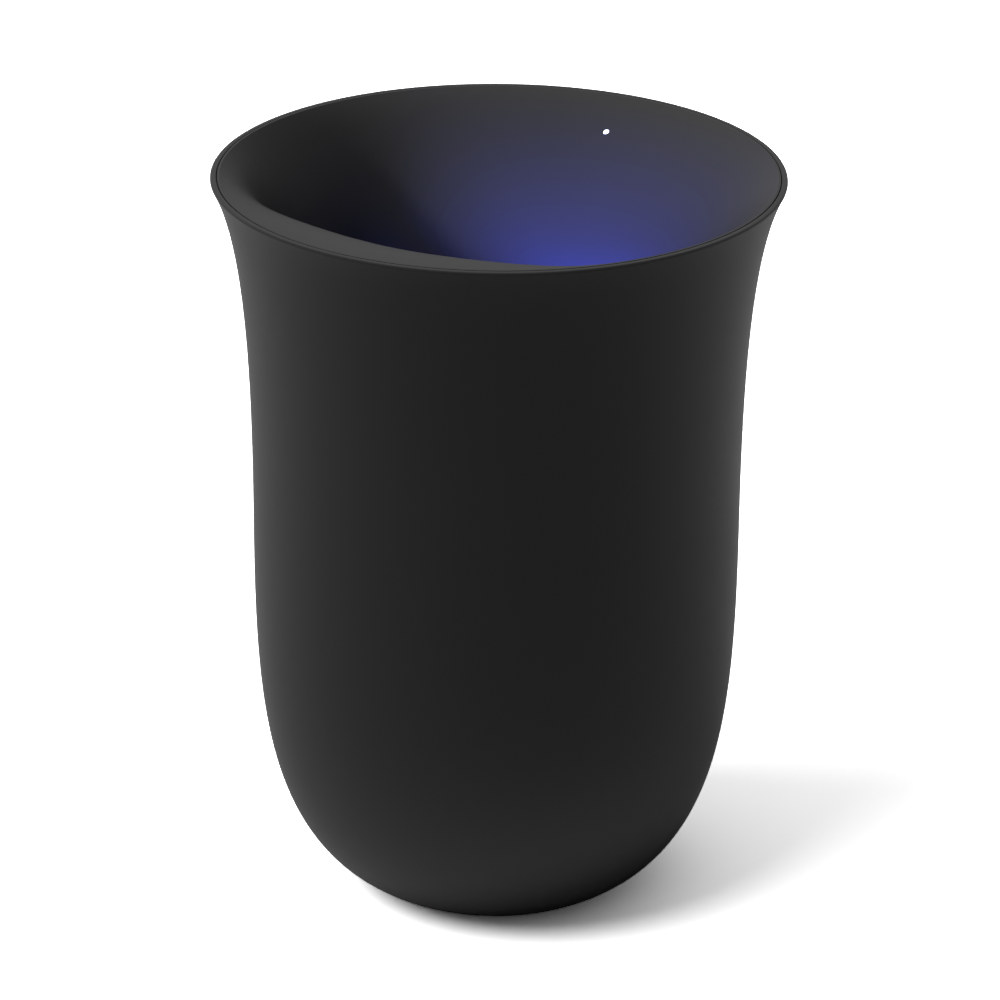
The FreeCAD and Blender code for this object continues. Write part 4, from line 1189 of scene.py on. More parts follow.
@dataclass(frozen=True)
class Opening:
    """Opening in the rear of the shell, with an edge rounded along the shell's face."""

    half_width: float
    half_height: float
    corner: float
    height: float
    depth: float
    side_steps: int = 0
    corner_steps: int = 16
    edge: float = 0.5
    edge_steps: int = 5
    edge_start: float = 20.0
    proud: float = 0.6
    outside: float = 60.0


@dataclass
class OuterShell:
    """Vase wall: two curves that meet at the waist, a lip with a ledge, and a foot with a rebate."""

    height: float = 174.0
    rim_radius: float = 65.3
    rim_flare: float = 29.0
    rim_pull: float = 15.5
    waist_radius: float = 56.2
    waist_height: float = 92.0
    neck_pull: float = 37.4
    belly_pull: float = 44.5
    foot_radius: float = 29.2
    foot_angle: float = 25.0
    foot_pull: float = 28.6
    foot_gap: float = 1.2
    wall: float = 2.4
    lip_land: float = 1.65
    lip_round: float = 0.42
    seam_round: float = 0.15
    ledge_width: float = 0.9
    ledge_depth: float = 2.0
    foot_land: float = 1.2
    rebate: float = 1.2
    cover_overlap: float = 1.7
    foot_round: float = 0.3
    segments: int = 288
    curve_steps: int = 40
    halvings: int = 40
    shading_edges: float = 4.0
    shading_slack: float = 0.02
    slope_step: float = 0.05
    inlet: Opening = Opening(6.2, 3.5, 1.6, 14.23, 30.0, side_steps=12)
    button: Opening = Opening(5.65, 5.65, 5.65, 34.0, 40.0)

    def walls(self, inset: float, top: Flat, foot: Flat) -> tuple[list[Flat], list[Flat]]:
        """Return the poles of a lower and an upper wall curve.

        Args:
            inset: Distance of the wall's waist inside the outer face.
            top: Upper end of the wall.
            foot: Lower end of the wall.

        Returns:
            Poles from foot to waist, and from waist to top.
        """
        lift = math.radians(self.foot_angle)
        flare = math.radians(self.rim_flare)
        waist = self.waist_radius - inset
        lower = [foot,
                 (foot[0] + self.foot_pull * math.cos(lift), foot[1] + self.foot_pull * math.sin(lift)),
                 (waist, self.waist_height - self.belly_pull),
                 (waist, self.waist_height)]
        upper = [lower[3],
                 (waist, self.waist_height + self.neck_pull),
                 (top[0] - self.rim_pull * math.sin(flare), top[1] - self.rim_pull * math.cos(flare)),
                 top]
        return lower, upper

    def outer_walls(self) -> tuple[list[Flat], list[Flat]]:
        """Return the poles of the outer face."""
        return self.walls(0.0, (self.rim_radius, self.height), (self.foot_radius, self.foot_gap))

    def radius_at(self, level: float) -> float:
        """Find the outer radius at a height.

        Args:
            level: Height.

        Returns:
            Radius of the outer face there.
        """
        lower, upper = self.outer_walls()
        poles = lower if level < self.waist_height else upper
        low, high = 0.0, 1.0
        for halving in range(self.halvings):
            share = (low + high) / 2
            if bezier(poles, share)[1] < level:
                low = share
            else:
                high = share
        return bezier(poles, low)[0]

    def rear_face(self, across: float, level: float) -> float:
        """Return how far back the outer face lies at a place across and up."""
        return math.sqrt(self.radius_at(level) ** 2 - across ** 2)

    def profile(self) -> Profile:
        """Draw the wall's outline, from the foot up the outside and down the inside.

        Returns:
            Closed outline.
        """
        lower, upper = self.outer_walls()
        land = self.rim_radius - self.lip_land
        ledge = (land - self.ledge_width, self.height - self.ledge_depth)
        sill = self.foot_gap + 2 * self.rebate
        lift = math.radians(self.foot_angle)
        inner_foot = (self.foot_radius - self.wall * math.sin(lift), sill)
        inner_lower, inner_upper = self.walls(self.wall, ledge, inner_foot)
        seat = self.foot_radius - self.foot_land
        opening = seat - self.cover_overlap
        form = Profile()
        form.corner(*lower[0], self.foot_round).curve(lower, self.curve_steps)
        form.corner(*lower[3]).curve(upper, self.curve_steps)
        form.corner(*upper[3], self.lip_round).corner(land, self.height, self.seam_round)
        form.corner(land, ledge[1]).corner(*ledge)
        form.curve(inner_upper[::-1], self.curve_steps).corner(*inner_upper[0])
        form.curve(inner_lower[::-1], self.curve_steps).corner(*inner_foot)
        form.corner(opening, sill).corner(opening, self.foot_gap + self.rebate)
        form.corner(seat, self.foot_gap + self.rebate).corner(seat, self.foot_gap, self.seam_round)
        return form

    def cutter(self, name: str, opening: Opening) -> Mesh:
        """Make the tool of an opening: its edge curls out along the outer face.

        Args:
            name: Name of the mesh.
            opening: Opening to cut.

        Returns:
            Closed mesh.
        """
        start = math.radians(opening.edge_start)
        edge = [(opening.edge * (1 - math.sin(start)) + opening.proud * math.cos(start),
                 opening.edge * (1 - math.cos(start)) - opening.proud * math.sin(start))]
        for step in range(opening.edge_steps + 1):
            turn = start + (math.pi / 2 - start) * step / opening.edge_steps
            edge.append((opening.edge * (1 - math.sin(turn)), opening.edge * (1 - math.cos(turn))))
        rings = []
        for spread, sink in edge:
            outline = rounded_outline(opening.half_width + spread, opening.half_height + spread,
                                      opening.corner + spread, opening.corner_steps, opening.side_steps)
            rings.append([Vector((u, self.rear_face(u, opening.height + v) - sink, opening.height + v))
                          for u, v in outline])
        rings.append([Vector((point.x, opening.depth, point.z)) for point in rings[-1]])
        rings.insert(0, [Vector((point.x, opening.outside, point.z)) for point in rings[0]])
        return lofted(name, rings)

    def smooth_round_openings(self, mesh: Mesh) -> None:
        """Give the cut faces of the wall the shading of the whole wall.

        Args:
            mesh: Shell with its openings cut.
        """
        normals = [corner.vector.copy() for corner in mesh.corner_normals]
        reach = self.button.half_width + self.shading_edges * self.button.edge
        top = (self.button.height + reach) * MM
        for face in mesh.polygons:
            middle = face.center
            if middle.y < 0 or abs(middle.x) > 2 * reach * MM or middle.z > top:
                continue
            corners = [(loop, mesh.vertices[mesh.loops[loop].vertex_index].co / MM)
                       for loop in face.loop_indices]
            gaps = [abs(math.hypot(at.x, at.y) - self.radius_at(at.z)) for loop, at in corners]
            if max(gaps) > self.shading_slack:
                continue
            for loop, at in corners:
                rise = self.slope_step
                slope = (self.radius_at(at.z + rise) - self.radius_at(at.z - rise)) / (2 * rise)
                out = math.hypot(at.x, at.y)
                normals[loop] = Vector((at.x / out, at.y / out, -slope)).normalized()
        mesh.normals_split_custom_set(normals)

    def build(self) -> None:
        """Turn the wall and cut its two rear openings."""
        solid = self.profile().turned("vase_wall_solid", SHELL, self.segments)
        tools = [self.cutter("inlet_tool", self.inlet), self.cutter("button_tool", self.button)]
        values = {"Cutter": joined("openings", tools), "Finish": SHELL.material()}
        mesh = grown("vase_wall", cut_tree(), values, base=solid)
        mesh.shade_smooth()
        mesh.set_sharp_from_angle(angle=math.radians(CREASE))
        self.smooth_round_openings(mesh)
        show("vase_wall", mesh, Slot.SHELL, "outer_shell")


# Screws


@dataclass(frozen=True)
class Screw:
    """Socket screw: its seat lies at the origin, the shank points up and the head down."""

    radius: float
    length: float
    head_radius: float
    head_height: float
    pitch: float
    thread_depth: float = 0.22
    socket_share: float = 0.45
    socket_depth: float = 0.6
    socket_dip: float = 0.1
    socket_floor: float = 0.3
    socket_mouth: float = 1.1
    edge_bend: float = 0.3
    tip_share: float = 0.8
    tip_neck: float = 0.55
    tip_end: float = 0.25
    sides: int = 24
    rows_per_turn: int = 6

    def turns(self) -> list[float]:
        """Return the angles of a ring's points."""
        return [math.tau * side / self.sides for side in range(self.sides)]

    def ring(self, radii: list[float], level: float) -> Ring:
        """Return a ring at a level, from the radius at each of its points."""
        return [Vector((radius * math.cos(turn), radius * math.sin(turn), level))
                for radius, turn in zip(radii, self.turns())]

    def round_ring(self, radius: float, level: float) -> Ring:
        """Return a round ring at a level."""
        return self.ring([radius] * self.sides, level)

    def socket_ring(self, reach: float, level: float) -> Ring:
        """Return a six-sided ring at a level, whose corners lie at its reach."""
        flat = reach * math.cos(math.pi / 6)
        return self.ring([flat / math.cos(turn % (math.pi / 3) - math.pi / 6) for turn in self.turns()],
                         level)

    def thread_ring(self, level: float) -> Ring:
        """Return a ring of the thread, whose crest climbs once round in each pitch."""
        phases = [(level / self.pitch - side / self.sides) % 1.0 for side in range(self.sides)]
        return self.ring([self.radius - self.thread_depth * abs(2 * phase - 1) for phase in phases], level)

    def mesh(self) -> Mesh:
        """Build the screw from its socket round the head and along the thread to the tip.

        Returns:
            Closed mesh round the origin.
        """
        reach = self.head_radius * self.socket_share
        face = -self.head_height
        edge = self.head_height / 4
        soft = edge / 4
        bend = edge * self.edge_bend
        floor = face + self.head_height * self.socket_depth
        dip = face + self.head_height * (self.socket_depth + self.socket_dip)
        rings = [
            self.socket_ring(reach * self.socket_floor, dip),
            self.socket_ring(reach, floor),
            self.socket_ring(reach, face + soft),
            self.socket_ring(reach * self.socket_mouth, face),
            self.round_ring(self.head_radius - edge, face),
            self.round_ring(self.head_radius - bend, face + bend),
            self.round_ring(self.head_radius, face + edge),
            self.round_ring(self.head_radius, -soft),
            self.round_ring(self.head_radius - soft, 0.0),
            self.round_ring(self.radius, 0.0),
        ]
        tip = self.radius * self.tip_share
        rows = round((self.length - tip) / self.pitch * self.rows_per_turn)
        rings += [self.thread_ring((self.length - tip) * row / rows) for row in range(1, rows + 1)]
        rings.append(self.round_ring(self.radius * self.tip_neck, self.length - tip / 4))
        rings.append(self.round_ring(self.radius * self.tip_end, self.length))
        return lofted("screw", rings)


LARGE_SCREW = Screw(1.25, 10.0, 2.6, 1.4, 0.8)
SMALL_SCREW = Screw(0.9, 5.0, 1.7, 1.1, 0.55, thread_depth=0.15)


def set_screws(name: str, node: str, screw: Screw, count: int, centre: Vector, circle: float,
               start: float = 0.0, turn: float = 0.0) -> None:
    """Set a ring of screws in the place of packed ones.

    Args:
        name: Name of the piece.
        node: Packed screws that it stands for.
        screw: Kind of screw.
        count: Number of screws.
        centre: Middle of the ring of seats.
        circle: Radius of the ring.
        start: Angle of the first screw.
        turn: Turn of the ring about the X axis.
    """
    mesh = copied(name, screw.mesh(), STEEL, count, centre, circle=circle, start=start, turn=turn)
    show(name, mesh, Slot.SCREW, node)


# Phone well


@dataclass
class PhoneWell:
    """Liner with its funnel, and the ribbed rest on the floor of the well."""

    rest_corner: float = 5.0
    edge: float = 0.4
    rib_height: float = 0.4
    rib_width: float = 1.3
    rib_shoulder: float = 0.15
    rib_shoulder_share: float = 0.85
    rib_crown: float = 0.35
    rib_margin: float = 1.2
    rib_step: float = 2.6
    rib_count: int = 20

    def build(self) -> None:
        """Dress the liner and lay the rest."""
        dress("inner_liner", LINER)
        middle, half = middle_and_half("rest_pad")
        top = half.z - self.rib_height
        strip = Section(half.x, half.y, self.rest_corner, Facing.UP).rings([
            (self.edge / 2, -half.z),
            (0.0, self.edge / 2 - half.z),
            (0.0, top - self.edge),
            (self.edge / 3, top - self.edge / 3),
            (self.edge, top),
        ], middle)
        round_end = self.rib_width / 2
        rib = Section(round_end, half.y - self.rib_margin, round_end, Facing.UP).rings([
            (0.0, -self.edge),
            (0.0, self.rib_height / 2),
            (self.rib_shoulder, self.rib_height * self.rib_shoulder_share),
            (self.rib_crown, self.rib_height),
        ])
        seat = middle + Vector((0.0, 0.0, top))
        ribs = copied("rest_ribs", lofted("rest_rib", rib), SILICONE, self.rib_count, seat,
                      step=Vector((self.rib_step, 0.0, 0.0)))
        show("rest_strip", lofted("rest_strip", strip, SILICONE), Slot.SILICONE, "rest_pad")
        show("rest_ribs", ribs, Slot.SILICONE)


# Base


@dataclass
class Base:
    """Closed bottom: cover, grooved foot ring and the three screws under it."""

    groove_count: int = 5
    groove_width: float = 1.1
    groove_depth: float = 0.6
    edge: float = 0.5
    screw_count: int = 3
    screw_circle: float = 18.0
    screw_start: float = 90.0
    segments: int = 192
    inner_radius: float = 13.0

    def foot_profile(self, outer: float, thickness: float) -> Profile:
        """Return the outline of the foot ring, with grooves in its underside.

        Args:
            outer: Outer radius.
            thickness: Height of the ring.

        Returns:
            Closed outline.
        """
        form = Profile()
        form.corner(self.inner_radius, thickness, self.edge / 2).corner(self.inner_radius, 0.0, self.edge)
        step = (outer - self.inner_radius) / (self.groove_count + 1)
        slope = self.groove_width / 4
        for number in range(1, self.groove_count + 1):
            middle = self.inner_radius + step * number
            form.corner(middle - self.groove_width / 2, 0.0, slope / 2)
            form.corner(middle - slope, self.groove_depth, slope / 2)
            form.corner(middle + slope, self.groove_depth, slope / 2)
            form.corner(middle + self.groove_width / 2, 0.0, slope / 2)
        form.corner(outer, 0.0, self.edge).corner(outer, thickness, self.edge / 2)
        return form

    def build(self) -> None:
        """Dress the cover, turn the foot ring and set the screws."""
        dress("base_cover", COVER)
        high = span_of("foot_pad")[1]
        ring = self.foot_profile(high.x, high.z).turned("foot_ring", SILICONE, self.segments)
        show("foot_ring", ring, Slot.SILICONE, "foot_pad")
        seat = span_of("base_screws")[0].z + LARGE_SCREW.head_height
        set_screws("base_fixings", "base_screws", LARGE_SCREW, self.screw_count, Vector((0.0, 0.0, seat)),
                   self.screw_circle, self.screw_start)


# Start control


@dataclass
class StartControl:
    """Push button that follows the shell's rear face, with its stem, switch and board."""

    shell: OuterShell
    radius: float = 5.3
    flange_radius: float = 7.2
    flange: float = 1.2
    stem_radius: float = 2.0
    edge: float = 0.6
    dish_radius: float = 4.3
    dish_depth: float = 0.3
    sides: int = 96
    face_steps: int = 16
    edge_steps: int = 6
    flange_slack: float = 0.1

    def face_ring(self, reach: float) -> Ring:
        """Return a ring of the button's face, dished in the middle and rounded at its edge.

        Args:
            reach: Distance of the ring from the button's axis.

        Returns:
            Ring of points.
        """
        dish = self.dish_depth * max(0.0, 1 - (reach / self.dish_radius) ** 2) ** 2
        over = max(0.0, reach - self.radius + self.edge)
        drop = self.edge - math.sqrt(self.edge ** 2 - over ** 2)
        height = self.shell.button.height
        ring = []
        for side in range(self.sides):
            turn = math.tau * side / self.sides
            across, up = reach * math.cos(turn), height + reach * math.sin(turn)
            ring.append(Vector((across, self.shell.rear_face(across, up) - dish - drop, up)))
        return ring

    def plain_ring(self, reach: float, back: float) -> Ring:
        """Make a flat ring round the button's axis.

        Args:
            reach: Radius of the ring.
            back: Place of the ring towards the rear.

        Returns:
            Ring of points.
        """
        height = self.shell.button.height
        turns = [math.tau * side / self.sides for side in range(self.sides)]
        return [Vector((reach * math.cos(turn), back, height + reach * math.sin(turn))) for turn in turns]

    def flange_plane(self) -> float:
        """Read the place of the flange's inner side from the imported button's widest points.

        Returns:
            Place of the inner side towards the rear.
        """
        points = [point.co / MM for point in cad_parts["start_button"].data.vertices]
        height = self.shell.button.height
        least = self.flange_radius - self.flange_slack
        return min(point.y for point in points if math.hypot(point.x, point.z - height) > least)

    def build(self) -> None:
        """Shape the button and dress its switch and board."""
        stem_end = span_of("start_button")[0].y
        flange_back = self.flange_plane()
        flange_face = flange_back + self.flange
        soft = self.edge / 3
        reaches = [self.radius * step / self.face_steps for step in range(1, self.face_steps - 1)]
        turns = [math.pi / 2 * step / self.edge_steps for step in range(self.edge_steps + 1)]
        reaches += [self.radius - self.edge + self.edge * math.sin(turn) for turn in turns]
        rings = [self.face_ring(reach) for reach in reaches]
        rings += [self.plain_ring(*place) for place in (
            (self.radius, flange_face),
            (self.flange_radius - soft, flange_face),
            (self.flange_radius, flange_face - soft),
            (self.flange_radius, flange_back + soft),
            (self.flange_radius - soft, flange_back),
            (self.stem_radius, flange_back),
            (self.stem_radius, stem_end + soft),
            (self.stem_radius - soft, stem_end),
        )]
        show("button_cap", lofted("button_cap", rings, BUTTON), Slot.BUTTON, "start_button", body=Body.BUTTON)
        dress("switch_plunger", PLUNGER)
        dress("tact_switch", CHIP)
        dress("button_board", MASK_DARK)


# Power inlet


@dataclass
class PowerInlet:
    """Flat drawn tube with a rolled mouth, a tongue inside it and two rows of contacts."""

    wall: float = 0.3
    corner: float = 1.3
    back_round: float = 0.25
    back_bend: float = 0.08
    mouth_run: float = 0.2
    mouth_bend: float = 0.04
    mouth_drop: float = 0.06
    mouth_crest: float = 0.14
    mouth_fall: float = 0.24
    mouth_depth: float = 0.25
    contact_count: int = 12
    contact_step: float = 0.5
    contact_width: float = 0.28
    contact_length: float = 3.8
    contact_corner: float = 0.08
    contact_rise: float = 0.04
    tongue_edge: float = 0.12
    contact_setback: float = 4.0

    def build_tube(self) -> None:
        """Draw the tube with its rolled mouth."""
        middle, half = middle_and_half("usb_socket_shell")
        rings = Section(half.x, half.z, self.corner, Facing.REAR).rings([
            (self.back_round, -half.y),
            (self.back_bend, self.back_bend - half.y),
            (0.0, self.back_round - half.y),
            (0.0, half.y - self.mouth_run),
            (self.mouth_bend, half.y - self.mouth_drop),
            (self.mouth_crest, half.y),
            (self.mouth_fall, half.y - self.mouth_drop),
            (self.wall, half.y - self.mouth_depth),
            (self.wall, self.wall - half.y),
        ], middle)
        show("inlet_tube", lofted("inlet_tube", rings, INLET), Slot.INLET, "usb_socket_shell")

    def build_tongue(self) -> None:
        """Shape the tongue with its blunt front edge."""
        middle, half = middle_and_half("usb_socket_tongue")
        edge = self.tongue_edge
        rings = Section(half.x, half.z, edge, Facing.REAR, even_corner=True).rings([
            (0.0, -half.y),
            (0.0, half.y - 2 * edge),
            (edge, half.y - edge / 2),
            (1.5 * edge, half.y),
        ], middle)
        show("inlet_tongue", lofted("inlet_tongue", rings, CHIP), Slot.CHIP, "usb_socket_tongue")

    def build_contacts(self) -> None:
        """Lay a row of contacts on each side of the tongue."""
        low, high = span_of("usb_socket_tongue")
        strip = Section(self.contact_width / 2, self.contact_length / 2, self.contact_corner, Facing.UP,
                        TINY_CORNER_STEPS, even_corner=True)
        contact = lofted("contact", strip.rings([
            (0.0, -self.contact_rise),
            (0.0, self.contact_rise / 2),
            (self.contact_rise / 2, self.contact_rise),
        ]))
        front = high.y - self.contact_length / 2 - self.contact_setback * self.tongue_edge
        step = Vector((self.contact_step, 0.0, 0.0))
        for name, level, turn in (("upper_contacts", high.z, 0.0), ("lower_contacts", low.z, 180.0)):
            seat = Vector((0.0, front, level))
            row = copied(name, contact, GOLD, self.contact_count, seat, step=step, turn=turn)
            show(name, row, Slot.COPPER)

    def build(self) -> None:
        """Build the tube, the tongue and its contacts."""
        self.build_tube()
        self.build_tongue()
        self.build_contacts()


# Sanitizing lamp


@dataclass(frozen=True)
class Glimmer:
    """One light of the lamp's glow: its power, rise above the slot, upward lean and spread."""

    name: str
    power: float
    rise: float
    lift: float
    spread: float


@dataclass
class SanitizingLamp:
    """Ultraviolet lamp behind a slot in the front wall: window, seal, board and four emitters."""

    count: int = 4
    step: float = 9.0
    side: float = 3.5
    side_corner: float = 0.25
    edge_corner: float = 0.2
    base_height: float = 0.75
    cavity: float = 1.35
    cavity_depth: float = 0.25
    lens_radius: float = 1.25
    lens_rise: float = 0.62
    lens_sink: float = 0.05
    lens_steps: int = 8
    slot_half: float = 18.0
    slot_height: float = 5.0
    slot_corner: float = 0.8
    seal_corner: float = 1.5
    edge: float = 0.2
    screw_count: int = 2
    screw_circle: float = 25.0
    glow_width: float = 34.0
    glow_height: float = 3.6
    glow_aside: float = 8.0
    glow_ahead: float = 8.0
    slot_glow: Glimmer = Glimmer("slot_glow", 0.03, 0.0, 10.0, 170.0)
    mouth_glow: Glimmer = Glimmer("mouth_glow", 0.11, 34.0, 22.0, 85.0)

    def emitter_base(self) -> Mesh:
        """Make the ceramic base of an emitter, with a round cavity, looking to the rear.

        Returns:
            Closed mesh round the origin.
        """
        half = self.side / 2
        soft = self.edge / 2
        top = self.base_height
        floor = self.cavity - self.edge
        places = (
            (half - soft, self.edge_corner, 0.0),
            (half, self.side_corner, soft),
            (half, self.side_corner, top - soft),
            (half - soft, self.edge_corner, top),
            (self.cavity, self.cavity, top),
            (floor, floor, top - self.cavity_depth),
        )
        rings = [ring_at(rounded_outline(reach, reach, corner), depth, Facing.REAR)
                 for reach, corner, depth in places]
        return lofted("emitter_base", rings)

    def emitter_lens(self) -> Mesh:
        """Make the domed lens of an emitter, looking to the rear.

        Returns:
            Closed mesh round the origin.
        """
        foot = self.base_height - self.cavity_depth
        places = [(self.lens_radius, foot - self.lens_sink)]
        for step in range(self.lens_steps):
            turn = math.pi / 2 * step / self.lens_steps
            places.append((self.lens_radius * math.cos(turn), foot + self.lens_rise * math.sin(turn)))
        rings = [ring_at(rounded_outline(reach, reach, reach), depth, Facing.REAR) for reach, depth in places]
        return lofted("emitter_lens", rings)

    def build_seal(self) -> None:
        """Mould the seal as a frame with rounded edges."""
        middle, half = middle_and_half("uv_gasket")
        deep = half.y
        edge = self.edge
        outer = Section(half.x, half.z, self.seal_corner, Facing.REAR)
        slot = Section(self.slot_half, self.slot_height / 2, self.slot_corner, Facing.REAR)
        rings = outer.rings([(edge, -deep), (0.0, edge - deep), (0.0, deep - edge), (edge, deep)], middle)
        rings += slot.rings([(-edge, deep), (0.0, deep - edge), (0.0, edge - deep), (-edge, -deep)], middle)
        show("lamp_seal", lofted("lamp_seal", rings, SILICONE, looped=True), Slot.SILICONE, "uv_gasket")

    def build_window(self) -> None:
        """Polish the window with bevelled edges."""
        middle, half = middle_and_half("uv_window")
        deep = half.y
        edge = self.edge
        pane = Section(half.x, half.z, self.slot_corner / 2, Facing.REAR, even_corner=True)
        rings = pane.rings([(edge, -deep), (0.0, edge - deep), (0.0, deep - edge), (edge, deep)], middle)
        show("lamp_window", lofted("lamp_window", rings, QUARTZ), Slot.QUARTZ, "uv_window")

    def add_glow(self, glimmer: Glimmer) -> None:
        """Let the lamp, or the light that the well scatters up, fall on the rear wall.

        Args:
            glimmer: Light to add.
        """
        middle = middle_of("uv_window")
        face = span_of("uv_window")[1].y
        data = bpy.data.lights.new(glimmer.name, "AREA")
        data.shape = "RECTANGLE"
        data.size = self.glow_width * MM
        data.size_y = self.glow_height * MM
        data.energy = glimmer.power
        data.color = Glow.ULTRAVIOLET.value
        data.spread = math.radians(glimmer.spread)
        light = add_object(glimmer.name, data)
        light.location = Vector((middle.x, face + self.glow_ahead, middle.z + glimmer.rise)) * MM
        lift = math.radians(glimmer.lift)
        aside = math.radians(self.glow_aside)
        level = Vector((math.sin(aside), math.cos(aside), 0.0))
        towards = level * math.cos(lift) + Vector((0.0, 0.0, math.sin(lift)))
        light.rotation_mode = "QUATERNION"
        light.rotation_quaternion = towards.to_track_quat("-Z", "Z")

    def build(self) -> None:
        """Build the lamp from the window forwards."""
        self.build_window()
        self.build_seal()
        dress("uv_board", MASK_WHITE)
        back, face = (corner.y for corner in span_of("uv_board"))
        seat = middle_of("uv_emitters")
        seat.y = face
        step = Vector((self.step, 0.0, 0.0))
        bases = copied("lamp_packages", self.emitter_base(), CERAMIC, self.count, seat, step=step)
        show("lamp_packages", bases, Slot.EMITTER, "uv_emitters")
        lenses = copied("lamp_lenses", self.emitter_lens(), LENS, self.count, seat, step=step)
        show("lamp_lenses", lenses, Slot.QUARTZ)
        set_screws("lamp_fixings", "uv_board_screws", SMALL_SCREW, self.screw_count,
                   Vector((0.0, back, seat.z)), self.screw_circle, turn=-90.0)
        self.add_glow(self.slot_glow)
        self.add_glow(self.mouth_glow)


# Status light


@dataclass
class StatusLight:
    """Light pipe at the rear of the lip, with its lamp, board and screw."""

    screw_x: float = -8.0

    def build(self) -> None:
        """Dress the pipe, lamp and board, and set the screw."""
        dress("status_light_pipe", STATUS_DOT)
        dress("status_lamp", LAMP)
        dress("status_board", MASK_DARK)
        seat = span_of("status_board")[0].z
        spot = Vector((self.screw_x, middle_of("status_board_screw").y, seat))
        set_screws("status_fixing", "status_board_screw", SMALL_SCREW, 1, spot, 0.0)


# Charging coil


@dataclass
class ChargingCoil:
    """Flat coil of twisted wire on the reclined rear wall, with its ferrite, carrier and screws."""

    recline: float = 12.4
    turns: float = 9.0
    inner_radius: float = 9.0
    pitch: float = 1.9
    band: float = 1.4
    strands: int = 4
    lay: float = 9.0
    ferrite: float = 1.5
    plate: float = 1.6
    screw_count: int = 4
    screw_circle: float = 33.2
    screw_start: float = 45.0

    def build(self) -> None:
        """Wind the coil, dress its backing and set the screws."""
        lean = math.radians(self.recline)
        outward = Vector((0.0, math.cos(lean), -math.sin(lean)))
        core = middle_of("ferrite_plate")
        # Four strands that touch their neighbours lie this many strand radii off the middle
        share = math.sqrt(2.0)
        strand = self.band / 2 / (1 + share)
        mesh = grown("wound_coil", coil_tree(), {
            "Turns": self.turns,
            "Inner Radius": self.inner_radius * MM,
            "Outer Radius": (self.inner_radius + self.turns * self.pitch) * MM,
            "Strands": self.strands,
            "Strand Radius": strand * MM,
            "Strand Offset": strand * share * MM,
            "Lay": self.lay * MM,
            "Centre": (core - outward * (self.ferrite + self.band) / 2) * MM,
            "Turn": (-math.radians(90.0 + self.recline), 0.0, 0.0),
            "Finish": COPPER.material(),
        })
        show("wound_coil", tidied(mesh, STRAND_CREASE), Slot.COPPER, "charging_coil")
        dress("ferrite_plate", FERRITE)
        dress("coil_carrier", CARRIER)
        seat = core + outward * (self.ferrite / 2 + self.plate)
        set_screws("coil_fixings", "coil_carrier_screws", SMALL_SCREW, self.screw_count, seat,
                   self.screw_circle, self.screw_start, 90.0 - self.recline)


# Electronics


